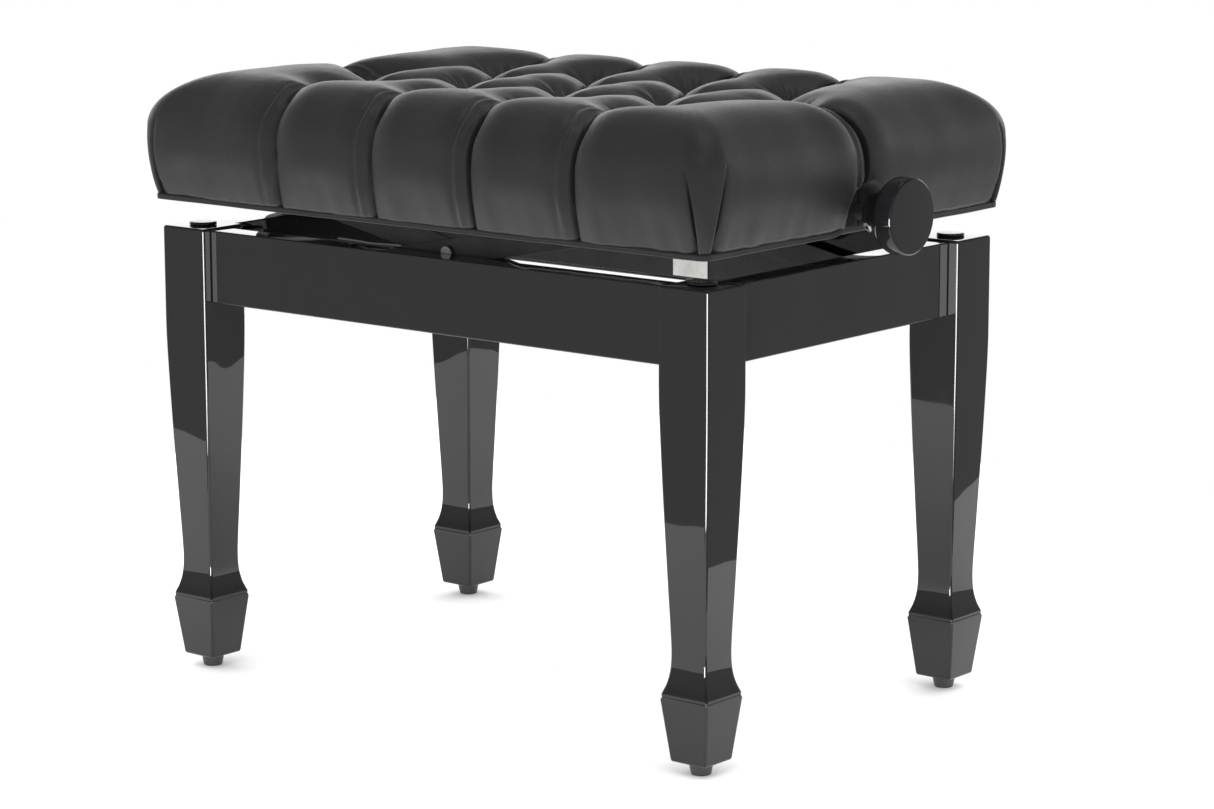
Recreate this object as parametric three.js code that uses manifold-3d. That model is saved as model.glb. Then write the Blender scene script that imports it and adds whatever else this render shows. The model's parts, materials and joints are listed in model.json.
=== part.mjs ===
// Height-adjustable piano bench. Millimetres, +Z up, origin on the floor under the middle of the bench.
// The long side runs along X, the front faces -Y, and the spindle lies along X.
import * as THREE from "three";
import { mergeVertices } from "three/addons/utils/BufferGeometryUtils.js";
import Module from "manifold-3d";

const wasm = await Module();
wasm.setup();

// ---- driving dimensions -------------------------------------------------------------------------
const GAP = 0.3;                     // clearance between neighbouring pieces of one body

const LEG_X = 254;                   // leg centre, half of the 508 mm spread
const LEG_Y = 159;                   // leg centre, half of the 318 mm spread
const LEG_WIDTH = 46;                // square section at the top
const LEG_CHAMFER = 1.6;
const LEG_TOP = 365;
const LEG_PROFILE = [                // height above the floor, width of the square section
  [10, 33], [57, 44.2], [60, 44.4], [63, 42.4], [69, 38], [76, 34.8], [84, 33.1], [92, 32.7],
  [110, 33.7], [135, 35.8], [167, 38.4], [204, 41.4], [241, 43.9], [270, 45.5], [290, 46],
];
const GLIDE_HEIGHT = 10;
const GLIDE_TOP_R = 9.5;
const GLIDE_FLOOR_R = 7.5;
const STEM_R = 3;
const STEM_LENGTH = 12;
const BUMPER_R = 11;
const BUMPER_HEIGHT = 2.4;

const APRON_BOTTOM = 305;
const APRON_TOP = 363.5;
const APRON_THICKNESS = 21;
const APRON_SETBACK_LONG = 8;        // long aprons stand back from the legs' outer faces
const APRON_SETBACK_SHORT = 9.5;
const APRON_CHAMFER = 1.2;
const BLOCK_BOTTOM = 320;
const BLOCK_TOP = 358;
const BLOCK_START_X = 210;
const BLOCK_DIAGONAL = 345;          // |x| + |y| along the block's slanted face
const LEG_BOLT_Z = 345;
const LEG_BOLT_R = 4;
const LEG_BOLT_HEAD_R = 7.5;
const LEG_BOLT_HEAD_T = 6;
const LEG_BOLT_DEPTH = 26;           // how far the bolt reaches into the leg

const SEAT_BOTTOM = 387;             // underside of the seat frame at the stored height
const SEAT_RAIL_HEIGHT = 31;
const SEAT_RAIL_WIDTH = 30;
const SEAT_HALF_X = 276;
const SEAT_HALF_Y = 184.5;
const DECK_THICKNESS = 9;
const CUSHION_X = 578;
const CUSHION_Y = 395;
const CUSHION_TOP = 488;
const CUSHION_CORNER_R = 42;
const CUSHION_EDGE = 26;
const BORDER_THICKNESS = 8;          // padded leather sides below the cushion's top pad
const BORDER_ARCH_TOP = 421;         // top of the arched opening around the spindle
const WELT_THICKNESS = 3.75;         // stands out this far from the frame's faces
const WELT_HEIGHT = 4.5;
const FRAME_CORNER_R = 16;           // rounding of the seat frame's and deck's outer corners
const NOTCH_HALF = 21;               // half width of the opening in border and welt around the spindle

const LINK_LENGTH = 400;             // pivot to pivot
const LINK_WIDTH = 20;
const LINK_T = 3;
const PIVOT_X = -196;                // fixed pivots, left end
const LOWER_PIVOT_Z = 325;
const UPPER_PIVOT_Z = 403;
const PIN_R = 4;
const JOURNAL_R = 5;
const RUNNING = 0.1;                 // radial play of turning fits
const OPEN_CLEARANCE = 1;            // play at the centre rivets, slots and spindle nut
const LOWER_RAIL = { inner: 149.7, bottom: 308, top: 338, halfLength: 209.5 };
const UPPER_RAIL = { inner: 137.4, bottom: 391, top: 418, halfLength: 209.5, flangeInner: 115 };
const LINK_A_Y = 145.4;              // inner face of the links that stand on the bench
const LINK_B_Y = 141.4;              // inner face of the links that hang from the seat
const SLOT_START = 162;
const SLOT_END = 205.3;
const CROSSBAR_R = 7;
const NUT_BOSS_R = 12;
const NUT_BOSS_HALF = 18;
const NUT_BAR_R = 8;
const HEAD_R = 5.2;
const HEAD_T = 2.8;

const SPINDLE_R = 6;
const SPINDLE_HALF = 315.7;
const BUSH_R = 9;
const BUSH_FLANGE_R = 12;
const BUSH_FLANGE_T = 2;
const COLLAR_R = 10;
const COLLAR_T = 8;
const KNOB_R = 29;
const KNOB_START = 290;
const KNOB_END = 327;

const LABEL = { x0: -15, x1: 21, z0: 309.5, z1: 333.5, t: 0.8 };

const ROUND = 20;
const RUNNING_FIT = 24;              // sides of pins and holes that turn in one another
const COARSE = 12;                   // sides of hidden holes and shanks
const FINE = 32;

const REST_ANGLE = Math.asin((UPPER_PIVOT_Z - LOWER_PIVOT_Z) / LINK_LENGTH);
const SLIDING_X = PIVOT_X + LINK_LENGTH * Math.cos(REST_ANGLE);

// ---- materials ----------------------------------------------------------------------------------
function finish(color, roughness, metalness) {
  return new THREE.MeshStandardMaterial({ color, roughness, metalness });
}

const FINISH = {
  lacquer: () => finish(0x0b0b0c, 0.12, 0),
  leather: () => finish(0x19191b, 0.45, 0),
  plywood: () => finish(0xb58a5a, 0.7, 0),
  hardwood: () => finish(0x2a2420, 0.6, 0),
  blackSteel: () => finish(0x121214, 0.35, 0.6),
  zinc: () => finish(0xa9adb1, 0.35, 1),
  knob: () => finish(0x0d0d0f, 0.2, 0),
  rubber: () => finish(0x101011, 0.3, 0),
  glide: () => finish(0x3a3a3d, 0.5, 0),
  nylon: () => finish(0x141415, 0.5, 0),
  label: () => finish(0xe9e9e6, 0.5, 0),
};

// ---- solid modelling helpers --------------------------------------------------------------------
function toSolid(geometry) {
  const bare = geometry.clone();
  bare.deleteAttribute("normal");
  bare.deleteAttribute("uv");
  const merged = mergeVertices(bare, 1e-4);
  return new wasm.Manifold(new wasm.Mesh({
    numProp: 3,
    vertProperties: new Float32Array(merged.attributes.position.array),
    triVerts: new Uint32Array(merged.index.array),
  }));
}

function toGeometry(solid) {
  const mesh = solid.getMesh();
  const geometry = new THREE.BufferGeometry();
  geometry.setAttribute("position", new THREE.BufferAttribute(new Float32Array(mesh.vertProperties), 3));
  geometry.setIndex(new THREE.BufferAttribute(new Uint32Array(mesh.triVerts), 1));
  geometry.computeVertexNormals();
  return geometry;
}

function cut(geometry, tools) {
  let solid = toSolid(geometry);
  for (const tool of tools) {
    solid = solid.subtract(toSolid(tool));
  }
  return toGeometry(solid);
}

function fuse(geometries) {
  let solid = toSolid(geometries[0]);
  for (const geometry of geometries.slice(1)) {
    solid = solid.add(toSolid(geometry));
  }
  return toGeometry(solid);
}

function common(first, second) {
  return toGeometry(toSolid(first).intersect(toSolid(second)));
}

function box(x0, x1, y0, y1, z0, z1) {
  const geometry = new THREE.BoxGeometry(x1 - x0, y1 - y0, z1 - z0);
  return geometry.translate((x0 + x1) / 2, (y0 + y1) / 2, (z0 + z1) / 2);
}

// A bar with chamfered long edges, lying along X.
function chamferedBar(length, width, height, chamfer) {
  const w = width / 2;
  const h = height / 2;
  const outline = new THREE.Shape([
    new THREE.Vector2(-w + chamfer, -h), new THREE.Vector2(w - chamfer, -h),
    new THREE.Vector2(w, -h + chamfer), new THREE.Vector2(w, h - chamfer),
    new THREE.Vector2(w - chamfer, h), new THREE.Vector2(-w + chamfer, h),
    new THREE.Vector2(-w, h - chamfer), new THREE.Vector2(-w, -h + chamfer),
  ]);
  const bar = new THREE.ExtrudeGeometry(outline, { depth: length, bevelEnabled: false });
  bar.translate(0, 0, -length / 2);
  return bar.rotateX(Math.PI / 2).rotateZ(Math.PI / 2);
}

// A round rod between two stations along Y.
function rodY(radius, y0, y1, x, z, segments = ROUND) {
  const rod = new THREE.CylinderGeometry(radius, radius, Math.abs(y1 - y0), segments);
  return rod.translate(x, (y0 + y1) / 2, z);
}

// A turned piece about X; the profile is a list of [radius, x] and starts and ends on the axis or closes.
function turnedX(profile, segments = FINE) {
  const points = profile.map(([r, x]) => new THREE.Vector2(r, x));
  return new THREE.LatheGeometry(points, segments).rotateZ(-Math.PI / 2);
}

function turnedZ(profile, segments = ROUND) {
  const points = profile.map(([r, z]) => new THREE.Vector2(r, z));
  return new THREE.LatheGeometry(points, segments).rotateX(Math.PI / 2);
}

function roundedRectangle(halfX, halfY, radius, pointsPerCorner = 6) {
  const points = [];
  const corners = [[1, 1, 0], [-1, 1, 1], [-1, -1, 2], [1, -1, 3]];
  for (const [sx, sy, quarter] of corners) {
    for (let i = 0; i <= pointsPerCorner; i += 1) {
      const angle = (quarter + i / pointsPerCorner) * Math.PI / 2;
      const x = sx * (halfX - radius) + radius * Math.cos(angle);
      const y = sy * (halfY - radius) + radius * Math.sin(angle);
      points.push(new THREE.Vector2(x, y));
    }
  }
  return new THREE.Shape(points);
}

// ---- collecting the named pieces ----------------------------------------------------------------
const group = new THREE.Group();
group.name = "piano_bench";

function addPiece(name, geometry, material) {
  const mesh = new THREE.Mesh(geometry, material);
  mesh.name = name;
  group.add(mesh);
}

const CORNERS = [
  { name: "front_left", sx: -1, sy: -1 },
  { name: "front_right", sx: 1, sy: -1 },
  { name: "back_left", sx: -1, sy: 1 },
  { name: "back_right", sx: 1, sy: 1 },
];
const SIDES = [{ name: "front", sy: -1 }, { name: "back", sy: 1 }];
const ENDS = [{ name: "left", sx: -1 }, { name: "right", sx: 1 }];

// ---- legs, glides and bumpers -------------------------------------------------------------------
function squareColumn(extraWidth, turn) {
  const profile = [[0, LEG_PROFILE[0][0]]];
  for (const [z, width] of LEG_PROFILE) {
    profile.push([(width + extraWidth) * Math.SQRT1_2, z]);
  }
  profile.push([(LEG_WIDTH + extraWidth) * Math.SQRT1_2, LEG_TOP]);
  profile.push([0, LEG_TOP]);
  return turnedZ(profile, 4).rotateZ(Math.PI / 4 + turn);
}

// Square, tapering to a slim ankle above a flared spade foot, with all four long edges chamfered.
function legBlank() {
  const chamferColumn = squareColumn(0, Math.PI / 4).scale(
    Math.SQRT2 - LEG_CHAMFER * Math.SQRT1_2 * 2 / LEG_WIDTH,
    Math.SQRT2 - LEG_CHAMFER * Math.SQRT1_2 * 2 / LEG_WIDTH,
    1,
  );
  return common(squareColumn(0, 0), chamferColumn);
}

// A rod along the diagonal that points away from the bench's middle at one corner.
function boltRod(radius, start, end, sx, sy, segments) {
  const rod = new THREE.CylinderGeometry(radius, radius, end - start, segments);
  rod.translate(0, (start + end) / 2, 0);
  rod.rotateZ(Math.atan2(sy, sx) - Math.PI / 2);
  return rod;
}

const LEG_CORNER_X = LEG_X - LEG_WIDTH / 2;
const LEG_CORNER_Y = LEG_Y - LEG_WIDTH / 2;

function addLeg({ name, sx, sy }) {
  const glideHole = turnedZ([[0, 0], [STEM_R + GAP, 0], [STEM_R + GAP, GLIDE_HEIGHT + STEM_LENGTH + GAP],
    [0, GLIDE_HEIGHT + STEM_LENGTH + GAP]], COARSE);
  const bumperHole = turnedZ([[0, LEG_TOP - STEM_LENGTH - GAP], [STEM_R + GAP, LEG_TOP - STEM_LENGTH - GAP],
    [STEM_R + GAP, LEG_TOP + 1], [0, LEG_TOP + 1]], COARSE);
  const boltHole = boltRod(LEG_BOLT_R + GAP, -10, LEG_BOLT_DEPTH + GAP, sx, sy, COARSE);
  boltHole.translate(-sx * LEG_WIDTH / 2, -sy * LEG_WIDTH / 2, LEG_BOLT_Z);
  const leg = cut(legBlank(), [glideHole, bumperHole, boltHole]);
  leg.translate(sx * LEG_X, sy * LEG_Y, 0);
  addPiece(`leg_${name}`, leg, FINISH.lacquer());
}

function addGlide({ name, sx, sy }) {
  const top = GLIDE_HEIGHT - GAP;
  const glide = turnedZ([[0, 0], [GLIDE_FLOOR_R - 1, 0], [GLIDE_FLOOR_R, 1], [GLIDE_TOP_R, top - 1],
    [GLIDE_TOP_R - 0.6, top], [STEM_R, top], [STEM_R, GLIDE_HEIGHT + STEM_LENGTH],
    [0, GLIDE_HEIGHT + STEM_LENGTH]]);
  glide.translate(sx * LEG_X, sy * LEG_Y, 0);
  addPiece(`glide_${name}`, glide, FINISH.glide());
}

function addBumper({ name, sx, sy }) {
  const bottom = LEG_TOP + GAP;
  const top = bottom + BUMPER_HEIGHT;
  const bumper = turnedZ([[0, LEG_TOP - STEM_LENGTH], [STEM_R, LEG_TOP - STEM_LENGTH], [STEM_R, bottom],
    [BUMPER_R, bottom], [BUMPER_R, top - 1.2], [BUMPER_R - 0.4, top - 0.4], [BUMPER_R - 1.3, top], [0, top]]);
  bumper.translate(sx * LEG_X, sy * LEG_Y, 0);
  addPiece(`bumper_${name}`, bumper, FINISH.rubber());
}

// ---- aprons and corner blocks -------------------------------------------------------------------
const LONG_APRON_OUTER = LEG_Y + LEG_WIDTH / 2 - APRON_SETBACK_LONG;
const LONG_APRON_INNER = LONG_APRON_OUTER - APRON_THICKNESS;
const SHORT_APRON_OUTER = LEG_X + LEG_WIDTH / 2 - APRON_SETBACK_SHORT;
const SHORT_APRON_INNER = SHORT_APRON_OUTER - APRON_THICKNESS;
const APRON_MIDDLE_Z = (APRON_BOTTOM + APRON_TOP) / 2;

function addLongApron({ name, sy }) {
  const length = 2 * (LEG_CORNER_X - GAP);
  const apron = chamferedBar(length, APRON_THICKNESS, APRON_TOP - APRON_BOTTOM, APRON_CHAMFER);
  apron.translate(0, sy * (LONG_APRON_INNER + LONG_APRON_OUTER) / 2, APRON_MIDDLE_Z);
  const pivotHole = rodY(PIN_R + GAP, sy * (LONG_APRON_INNER - 2), sy * (LONG_APRON_INNER + 12),
    PIVOT_X, LOWER_PIVOT_Z, COARSE);
  addPiece(`apron_${name}`, cut(apron, [pivotHole]), FINISH.lacquer());
}

function addShortApron({ name, sx }) {
  const length = 2 * (LEG_CORNER_Y - GAP);
  const apron = chamferedBar(length, APRON_THICKNESS, APRON_TOP - APRON_BOTTOM, APRON_CHAMFER);
  apron.rotateZ(Math.PI / 2);
  apron.translate(sx * (SHORT_APRON_INNER + SHORT_APRON_OUTER) / 2, 0, APRON_MIDDLE_Z);
  addPiece(`apron_${name}`, apron, FINISH.lacquer());
}

// Triangular block glued behind each leg; the diagonal leg bolt runs through it.
function addCornerBlock({ name, sx, sy }) {
  const outline = [
    [BLOCK_START_X, LONG_APRON_INNER - GAP],
    [LEG_CORNER_X - GAP, LONG_APRON_INNER - GAP],
    [LEG_CORNER_X - GAP, LEG_CORNER_Y - GAP],
    [SHORT_APRON_INNER - GAP, LEG_CORNER_Y - GAP],
    [SHORT_APRON_INNER - GAP, BLOCK_DIAGONAL - SHORT_APRON_INNER + GAP],
    [BLOCK_START_X, BLOCK_DIAGONAL - BLOCK_START_X],
  ].map(([x, y]) => new THREE.Vector2(sx * x, sy * y));
  const block = new THREE.ExtrudeGeometry(new THREE.Shape(outline), {
    depth: BLOCK_TOP - BLOCK_BOTTOM,
    bevelEnabled: false,
  });
  block.translate(0, 0, BLOCK_BOTTOM);
  const hole = boltRod(LEG_BOLT_R + GAP, -40, 20, sx, sy, COARSE);
  hole.translate(sx * LEG_CORNER_X, sy * LEG_CORNER_Y, LEG_BOLT_Z);
  addPiece(`corner_block_${name}`, cut(block, [hole]), FINISH.hardwood());
}

function addLegBolt({ name, sx, sy }) {
  const face = (BLOCK_DIAGONAL - LEG_CORNER_X - LEG_CORNER_Y) * Math.SQRT1_2 - GAP;
  const head = boltRod(LEG_BOLT_HEAD_R, face - LEG_BOLT_HEAD_T, face, sx, sy, 6);
  const shank = boltRod(LEG_BOLT_R, face - 1, LEG_BOLT_DEPTH, sx, sy, COARSE);
  const bolt = fuse([head, shank]);
  bolt.translate(sx * LEG_CORNER_X, sy * LEG_CORNER_Y, LEG_BOLT_Z);
  addPiece(`leg_bolt_${name}`, bolt, FINISH.zinc());
}

// ---- lower half of the lifting mechanism --------------------------------------------------------
function slotTool(y0, y1, z) {
  const half = JOURNAL_R + OPEN_CLEARANCE;
  const ends = [
    rodY(half, y0, y1, SLOT_START + half, z, COARSE),
    rodY(half, y0, y1, SLOT_END - half, z, COARSE),
  ];
  const near = Math.min(y0, y1);
  const far = Math.max(y0, y1);
  const middle = box(SLOT_START + half, SLOT_END - half, near, far, z - half, z + half);
  return fuse([...ends, middle]);
}

function addLowerRail({ name, sy }) {
  const y0 = sy * LOWER_RAIL.inner;
  const y1 = sy * (LOWER_RAIL.inner + LINK_T);
  const length = LOWER_RAIL.halfLength;
  const rail = box(-length, length, Math.min(y0, y1), Math.max(y0, y1), LOWER_RAIL.bottom, LOWER_RAIL.top);
  const pivotHole = rodY(PIN_R + GAP, y0 - sy, y1 + sy, PIVOT_X, LOWER_PIVOT_Z, COARSE);
  const slot = slotTool(y0 - sy, y1 + sy, LOWER_PIVOT_Z);
  addPiece(`lower_rail_${name}`, cut(rail, [pivotHole, slot]), FINISH.blackSteel());
}

function addLowerPivotBolt({ name, sy }) {
  const headFace = LINK_A_Y - GAP;
  const head = rodY(HEAD_R, sy * (headFace - HEAD_T), sy * headFace, PIVOT_X, LOWER_PIVOT_Z);
  const shankEnd = LONG_APRON_INNER + 11.5;
  const shank = rodY(PIN_R, sy * (headFace - 1), sy * shankEnd, PIVOT_X, LOWER_PIVOT_Z, RUNNING_FIT);
  addPiece(`lower_pivot_bolt_${name}`, fuse([head, shank]), FINISH.blackSteel());
}

function addLabel() {
  const y1 = LOWER_RAIL.inner - GAP;
  const plate = box(LABEL.x0, LABEL.x1, y1 - LABEL.t, y1, LABEL.z0, LABEL.z1);
  addPiece("blank_label", plate, FINISH.label());
}

// A flat link with round ends, lying along X from the origin, thickness along Y.
function linkBlank() {
  const half = LINK_WIDTH / 2;
  const outline = new THREE.Shape();
  outline.moveTo(0, -half);
  outline.lineTo(LINK_LENGTH, -half);
  outline.absarc(LINK_LENGTH, 0, half, -Math.PI / 2, Math.PI / 2, false);
  outline.lineTo(0, half);
  outline.absarc(0, 0, half, Math.PI / 2, 3 * Math.PI / 2, false);
  const link = new THREE.ExtrudeGeometry(outline, { depth: LINK_T, bevelEnabled: false, curveSegments: 8 });
  return link.rotateX(Math.PI / 2);
}

function link(holes) {
  const tools = holes.map(([along, radius, segments]) => rodY(radius, -LINK_T - 1, 1, along, 0, segments));
  return cut(linkBlank(), tools);
}

function placeLink(geometry, rise, pivotZ, innerY, sy) {
  geometry.rotateY(-rise);
  const outerY = sy > 0 ? innerY + LINK_T : -innerY;
  return geometry.translate(PIVOT_X, outerY, pivotZ);
}

// Links standing on the bench: pivot on the lower rail, carry the centre rivet and the nut bar.
function addStandingLink({ name, sy }) {
  const blank = link([[0, PIN_R + RUNNING, RUNNING_FIT], [LINK_LENGTH / 2, PIN_R + GAP, COARSE],
    [LINK_LENGTH, JOURNAL_R + RUNNING, RUNNING_FIT]]);
  const placed = placeLink(blank, REST_ANGLE, LOWER_PIVOT_Z, LINK_A_Y, sy);
  addPiece(`standing_link_${name}`, placed, FINISH.blackSteel());
}

// Links hanging from the seat: pivot on the upper rail and carry the lower crossbar.
function addHangingLink({ name, sy }) {
  const blank = link([
    [0, PIN_R + RUNNING, RUNNING_FIT],
    [LINK_LENGTH / 2, PIN_R + OPEN_CLEARANCE, RUNNING_FIT],
    [LINK_LENGTH, JOURNAL_R + GAP, COARSE],
  ]);
  const placed = placeLink(blank, -REST_ANGLE, UPPER_PIVOT_Z, LINK_B_Y, sy);
  addPiece(`hanging_link_${name}`, placed, FINISH.blackSteel());
}

function rivet(inner, outer, x, z, sy, shankSegments) {
  return fuse([
    rodY(HEAD_R, sy * (inner - HEAD_T), sy * inner, x, z),
    rodY(PIN_R, sy * (inner - 1), sy * (outer + 1), x, z, shankSegments),
    rodY(HEAD_R, sy * outer, sy * (outer + HEAD_T), x, z),
  ]);
}

function addCentreRivet({ name, sy }) {
  const x = PIVOT_X + LINK_LENGTH / 2 * Math.cos(REST_ANGLE);
  const z = LOWER_PIVOT_Z + LINK_LENGTH / 2 * Math.sin(REST_ANGLE);
  const piece = rivet(LINK_B_Y - GAP, LINK_A_Y + LINK_T + GAP, x, z, sy, COARSE);
  addPiece(`centre_rivet_${name}`, piece, FINISH.zinc());
}

function addUpperRivet({ name, sy }) {
  const outer = LINK_B_Y + LINK_T + GAP;
  const piece = rivet(UPPER_RAIL.inner - GAP, outer, PIVOT_X, UPPER_PIVOT_Z, sy, RUNNING_FIT);
  addPiece(`upper_rivet_${name}`, piece, FINISH.zinc());
}

function addLowerCrossbar() {
  const shoulder = LINK_B_Y - GAP;
  const end = LONG_APRON_INNER - 0.4;
  const bar = fuse([
    rodY(CROSSBAR_R, -shoulder, shoulder, SLIDING_X, LOWER_PIVOT_Z),
    rodY(JOURNAL_R, -end, end, SLIDING_X, LOWER_PIVOT_Z, RUNNING_FIT),
  ]);
  addPiece("lower_crossbar", bar, FINISH.blackSteel());
}

// ---- upper half of the lifting mechanism --------------------------------------------------------
function addUpperRail({ name, sy }) {
  const { inner, bottom, top, halfLength, flangeInner } = UPPER_RAIL;
  const y = [flangeInner, inner, inner + LINK_T].map((value) => sy * value);
  const web = box(-halfLength, halfLength, Math.min(y[1], y[2]), Math.max(y[1], y[2]), bottom, top);
  const flange = box(-halfLength, halfLength, Math.min(y[0], y[2]), Math.max(y[0], y[2]), top - LINK_T, top);
  const pivotHole = rodY(PIN_R + GAP, y[1] - sy, y[2] + sy, PIVOT_X, UPPER_PIVOT_Z, COARSE);
  const slot = slotTool(y[1] - sy, y[2] + sy, UPPER_PIVOT_Z);
  addPiece(`upper_rail_${name}`, cut(fuse([web, flange]), [pivotHole, slot]), FINISH.blackSteel());
}

// Trunnion bar: its journals turn in the standing links and slide in the upper rails, and the spindle
// runs through the cross hole in its thick middle.
function addNutBar() {
  const shoulder = UPPER_RAIL.inner - 2 * GAP;
  const end = LINK_A_Y + LINK_T + OPEN_CLEARANCE;
  const bar = fuse([
    rodY(NUT_BAR_R, -shoulder, shoulder, SLIDING_X, UPPER_PIVOT_Z),
    rodY(NUT_BOSS_R, -NUT_BOSS_HALF, NUT_BOSS_HALF, SLIDING_X, UPPER_PIVOT_Z, RUNNING_FIT),
    rodY(JOURNAL_R, -end, end, SLIDING_X, UPPER_PIVOT_Z, RUNNING_FIT),
  ]);
  const reach = NUT_BOSS_R + 2;
  const bore = turnedX([[0, -reach], [SPINDLE_R + OPEN_CLEARANCE, -reach],
    [SPINDLE_R + OPEN_CLEARANCE, reach], [0, reach]], RUNNING_FIT);
  bore.translate(SLIDING_X, 0, UPPER_PIVOT_Z);
  addPiece("nut_bar", cut(bar, [bore]), FINISH.zinc());
}

// ---- spindle, bushes, collars and knobs ---------------------------------------------------------
function addSpindle() {
  const spindle = turnedX([[0, -SPINDLE_HALF], [SPINDLE_R - 1, -SPINDLE_HALF], [SPINDLE_R, -SPINDLE_HALF + 1],
    [SPINDLE_R, SPINDLE_HALF - 1], [SPINDLE_R - 1, SPINDLE_HALF], [0, SPINDLE_HALF]]);
  spindle.translate(0, 0, UPPER_PIVOT_Z);
  addPiece("spindle", spindle, FINISH.blackSteel());
}

function mirrorEnd(geometry, sx) {
  if (sx < 0) {
    geometry.rotateZ(Math.PI);
  }
  return geometry.translate(0, 0, UPPER_PIVOT_Z);
}

function ringProfile(inner, outer, start, end) {
  return [[inner, start], [outer, start], [outer, end], [inner, end], [inner, start]];
}

function addBush({ name, sx }) {
  const face = SEAT_HALF_X - SEAT_RAIL_WIDTH - GAP;
  const bore = SPINDLE_R + RUNNING;
  const profile = [[bore, face - BUSH_FLANGE_T], [BUSH_FLANGE_R, face - BUSH_FLANGE_T],
    [BUSH_FLANGE_R, face], [BUSH_R, face], [BUSH_R, SEAT_HALF_X], [bore, SEAT_HALF_X],
    [bore, face - BUSH_FLANGE_T]];
  addPiece(`spindle_bush_${name}`, mirrorEnd(turnedX(profile), sx), FINISH.nylon());
}

function addCollar({ name, sx }) {
  const end = SEAT_HALF_X - SEAT_RAIL_WIDTH - BUSH_FLANGE_T - 2 * GAP;
  const collar = turnedX(ringProfile(SPINDLE_R + GAP, COLLAR_R, end - COLLAR_T, end));
  addPiece(`spindle_collar_${name}`, mirrorEnd(collar, sx), FINISH.blackSteel());
}

function addKnob({ name, sx }) {
  const bore = SPINDLE_R + GAP;
  const profile = [
    [bore, KNOB_START], [13, KNOB_START], [14.5, KNOB_START + 1.2], [16.5, KNOB_START + 7],
    [20.5, KNOB_START + 13], [26, KNOB_START + 18.5], [KNOB_R - 0.8, KNOB_START + 21.5],
    [KNOB_R, KNOB_START + 23.5], [KNOB_R, KNOB_END - 2], [KNOB_R - 0.6, KNOB_END - 0.6],
    [KNOB_R - 2, KNOB_END], [0, KNOB_END], [0, SPINDLE_HALF + GAP], [bore, SPINDLE_HALF + GAP],
    [bore, KNOB_START],
  ];
  addPiece(`knob_${name}`, mirrorEnd(turnedX(profile), sx), FINISH.knob());
}

// ---- seat ---------------------------------------------------------------------------------------
const SEAT_RAIL_TOP = SEAT_BOTTOM + SEAT_RAIL_HEIGHT;

function framePrism(extra, z0, z1) {
  const outline = roundedRectangle(SEAT_HALF_X + extra, SEAT_HALF_Y + extra, FRAME_CORNER_R + extra);
  const prism = new THREE.ExtrudeGeometry(outline, { depth: z1 - z0, bevelEnabled: false });
  return prism.translate(0, 0, z0);
}

function addLongSeatRail({ name, sy }) {
  const rail = chamferedBar(2 * SEAT_HALF_X, SEAT_RAIL_WIDTH, SEAT_RAIL_HEIGHT, APRON_CHAMFER);
  rail.translate(0, sy * (SEAT_HALF_Y - SEAT_RAIL_WIDTH / 2), SEAT_BOTTOM + SEAT_RAIL_HEIGHT / 2);
  const rounded = common(rail, framePrism(0, SEAT_BOTTOM - 1, SEAT_RAIL_TOP + 1));
  addPiece(`seat_rail_${name}`, rounded, FINISH.hardwood());
}

function addShortSeatRail({ name, sx }) {
  const length = 2 * (SEAT_HALF_Y - SEAT_RAIL_WIDTH - GAP);
  const rail = chamferedBar(length, SEAT_RAIL_WIDTH, SEAT_RAIL_HEIGHT, APRON_CHAMFER).rotateZ(Math.PI / 2);
  rail.translate(sx * (SEAT_HALF_X - SEAT_RAIL_WIDTH / 2), 0, SEAT_BOTTOM + SEAT_RAIL_HEIGHT / 2);
  const reach = SEAT_HALF_X + 2;
  const start = SEAT_HALF_X - SEAT_RAIL_WIDTH - 2;
  const holeRadius = BUSH_R + GAP;
  const profile = [[0, start], [holeRadius, start], [holeRadius, reach], [0, reach]];
  const hole = mirrorEnd(turnedX(profile, ROUND), sx);
  addPiece(`seat_rail_${name}`, cut(rail, [hole]), FINISH.hardwood());
}

function addDeck() {
  const z0 = SEAT_RAIL_TOP + GAP;
  addPiece("seat_deck", framePrism(0, z0, z0 + DECK_THICKNESS), FINISH.plywood());
}

// The part of a flat region that belongs to one side of the frame, bounded by 45 degree mitres.
function mitreWedge(side, z0, z1) {
  const shift = SEAT_HALF_X - SEAT_HALF_Y;
  const near = 60;
  const far = 2 * SEAT_HALF_X;
  const nearLong = near + shift - GAP;
  const farLong = far + shift - GAP;
  const long = side.sy
    ? [[nearLong, near], [farLong, far], [-farLong, far], [-nearLong, near]]
    : [
      [near + shift, near - GAP],
      [near + shift, -near + GAP],
      [far + shift, -far + GAP],
      [far + shift, far - GAP],
    ];
  const outline = long.map(([x, y]) => new THREE.Vector2(x * (side.sx || 1), y * (side.sy || 1)));
  const wedge = new THREE.ExtrudeGeometry(new THREE.Shape(outline), { depth: z1 - z0, bevelEnabled: false });
  return wedge.translate(0, 0, z0);
}

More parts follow.
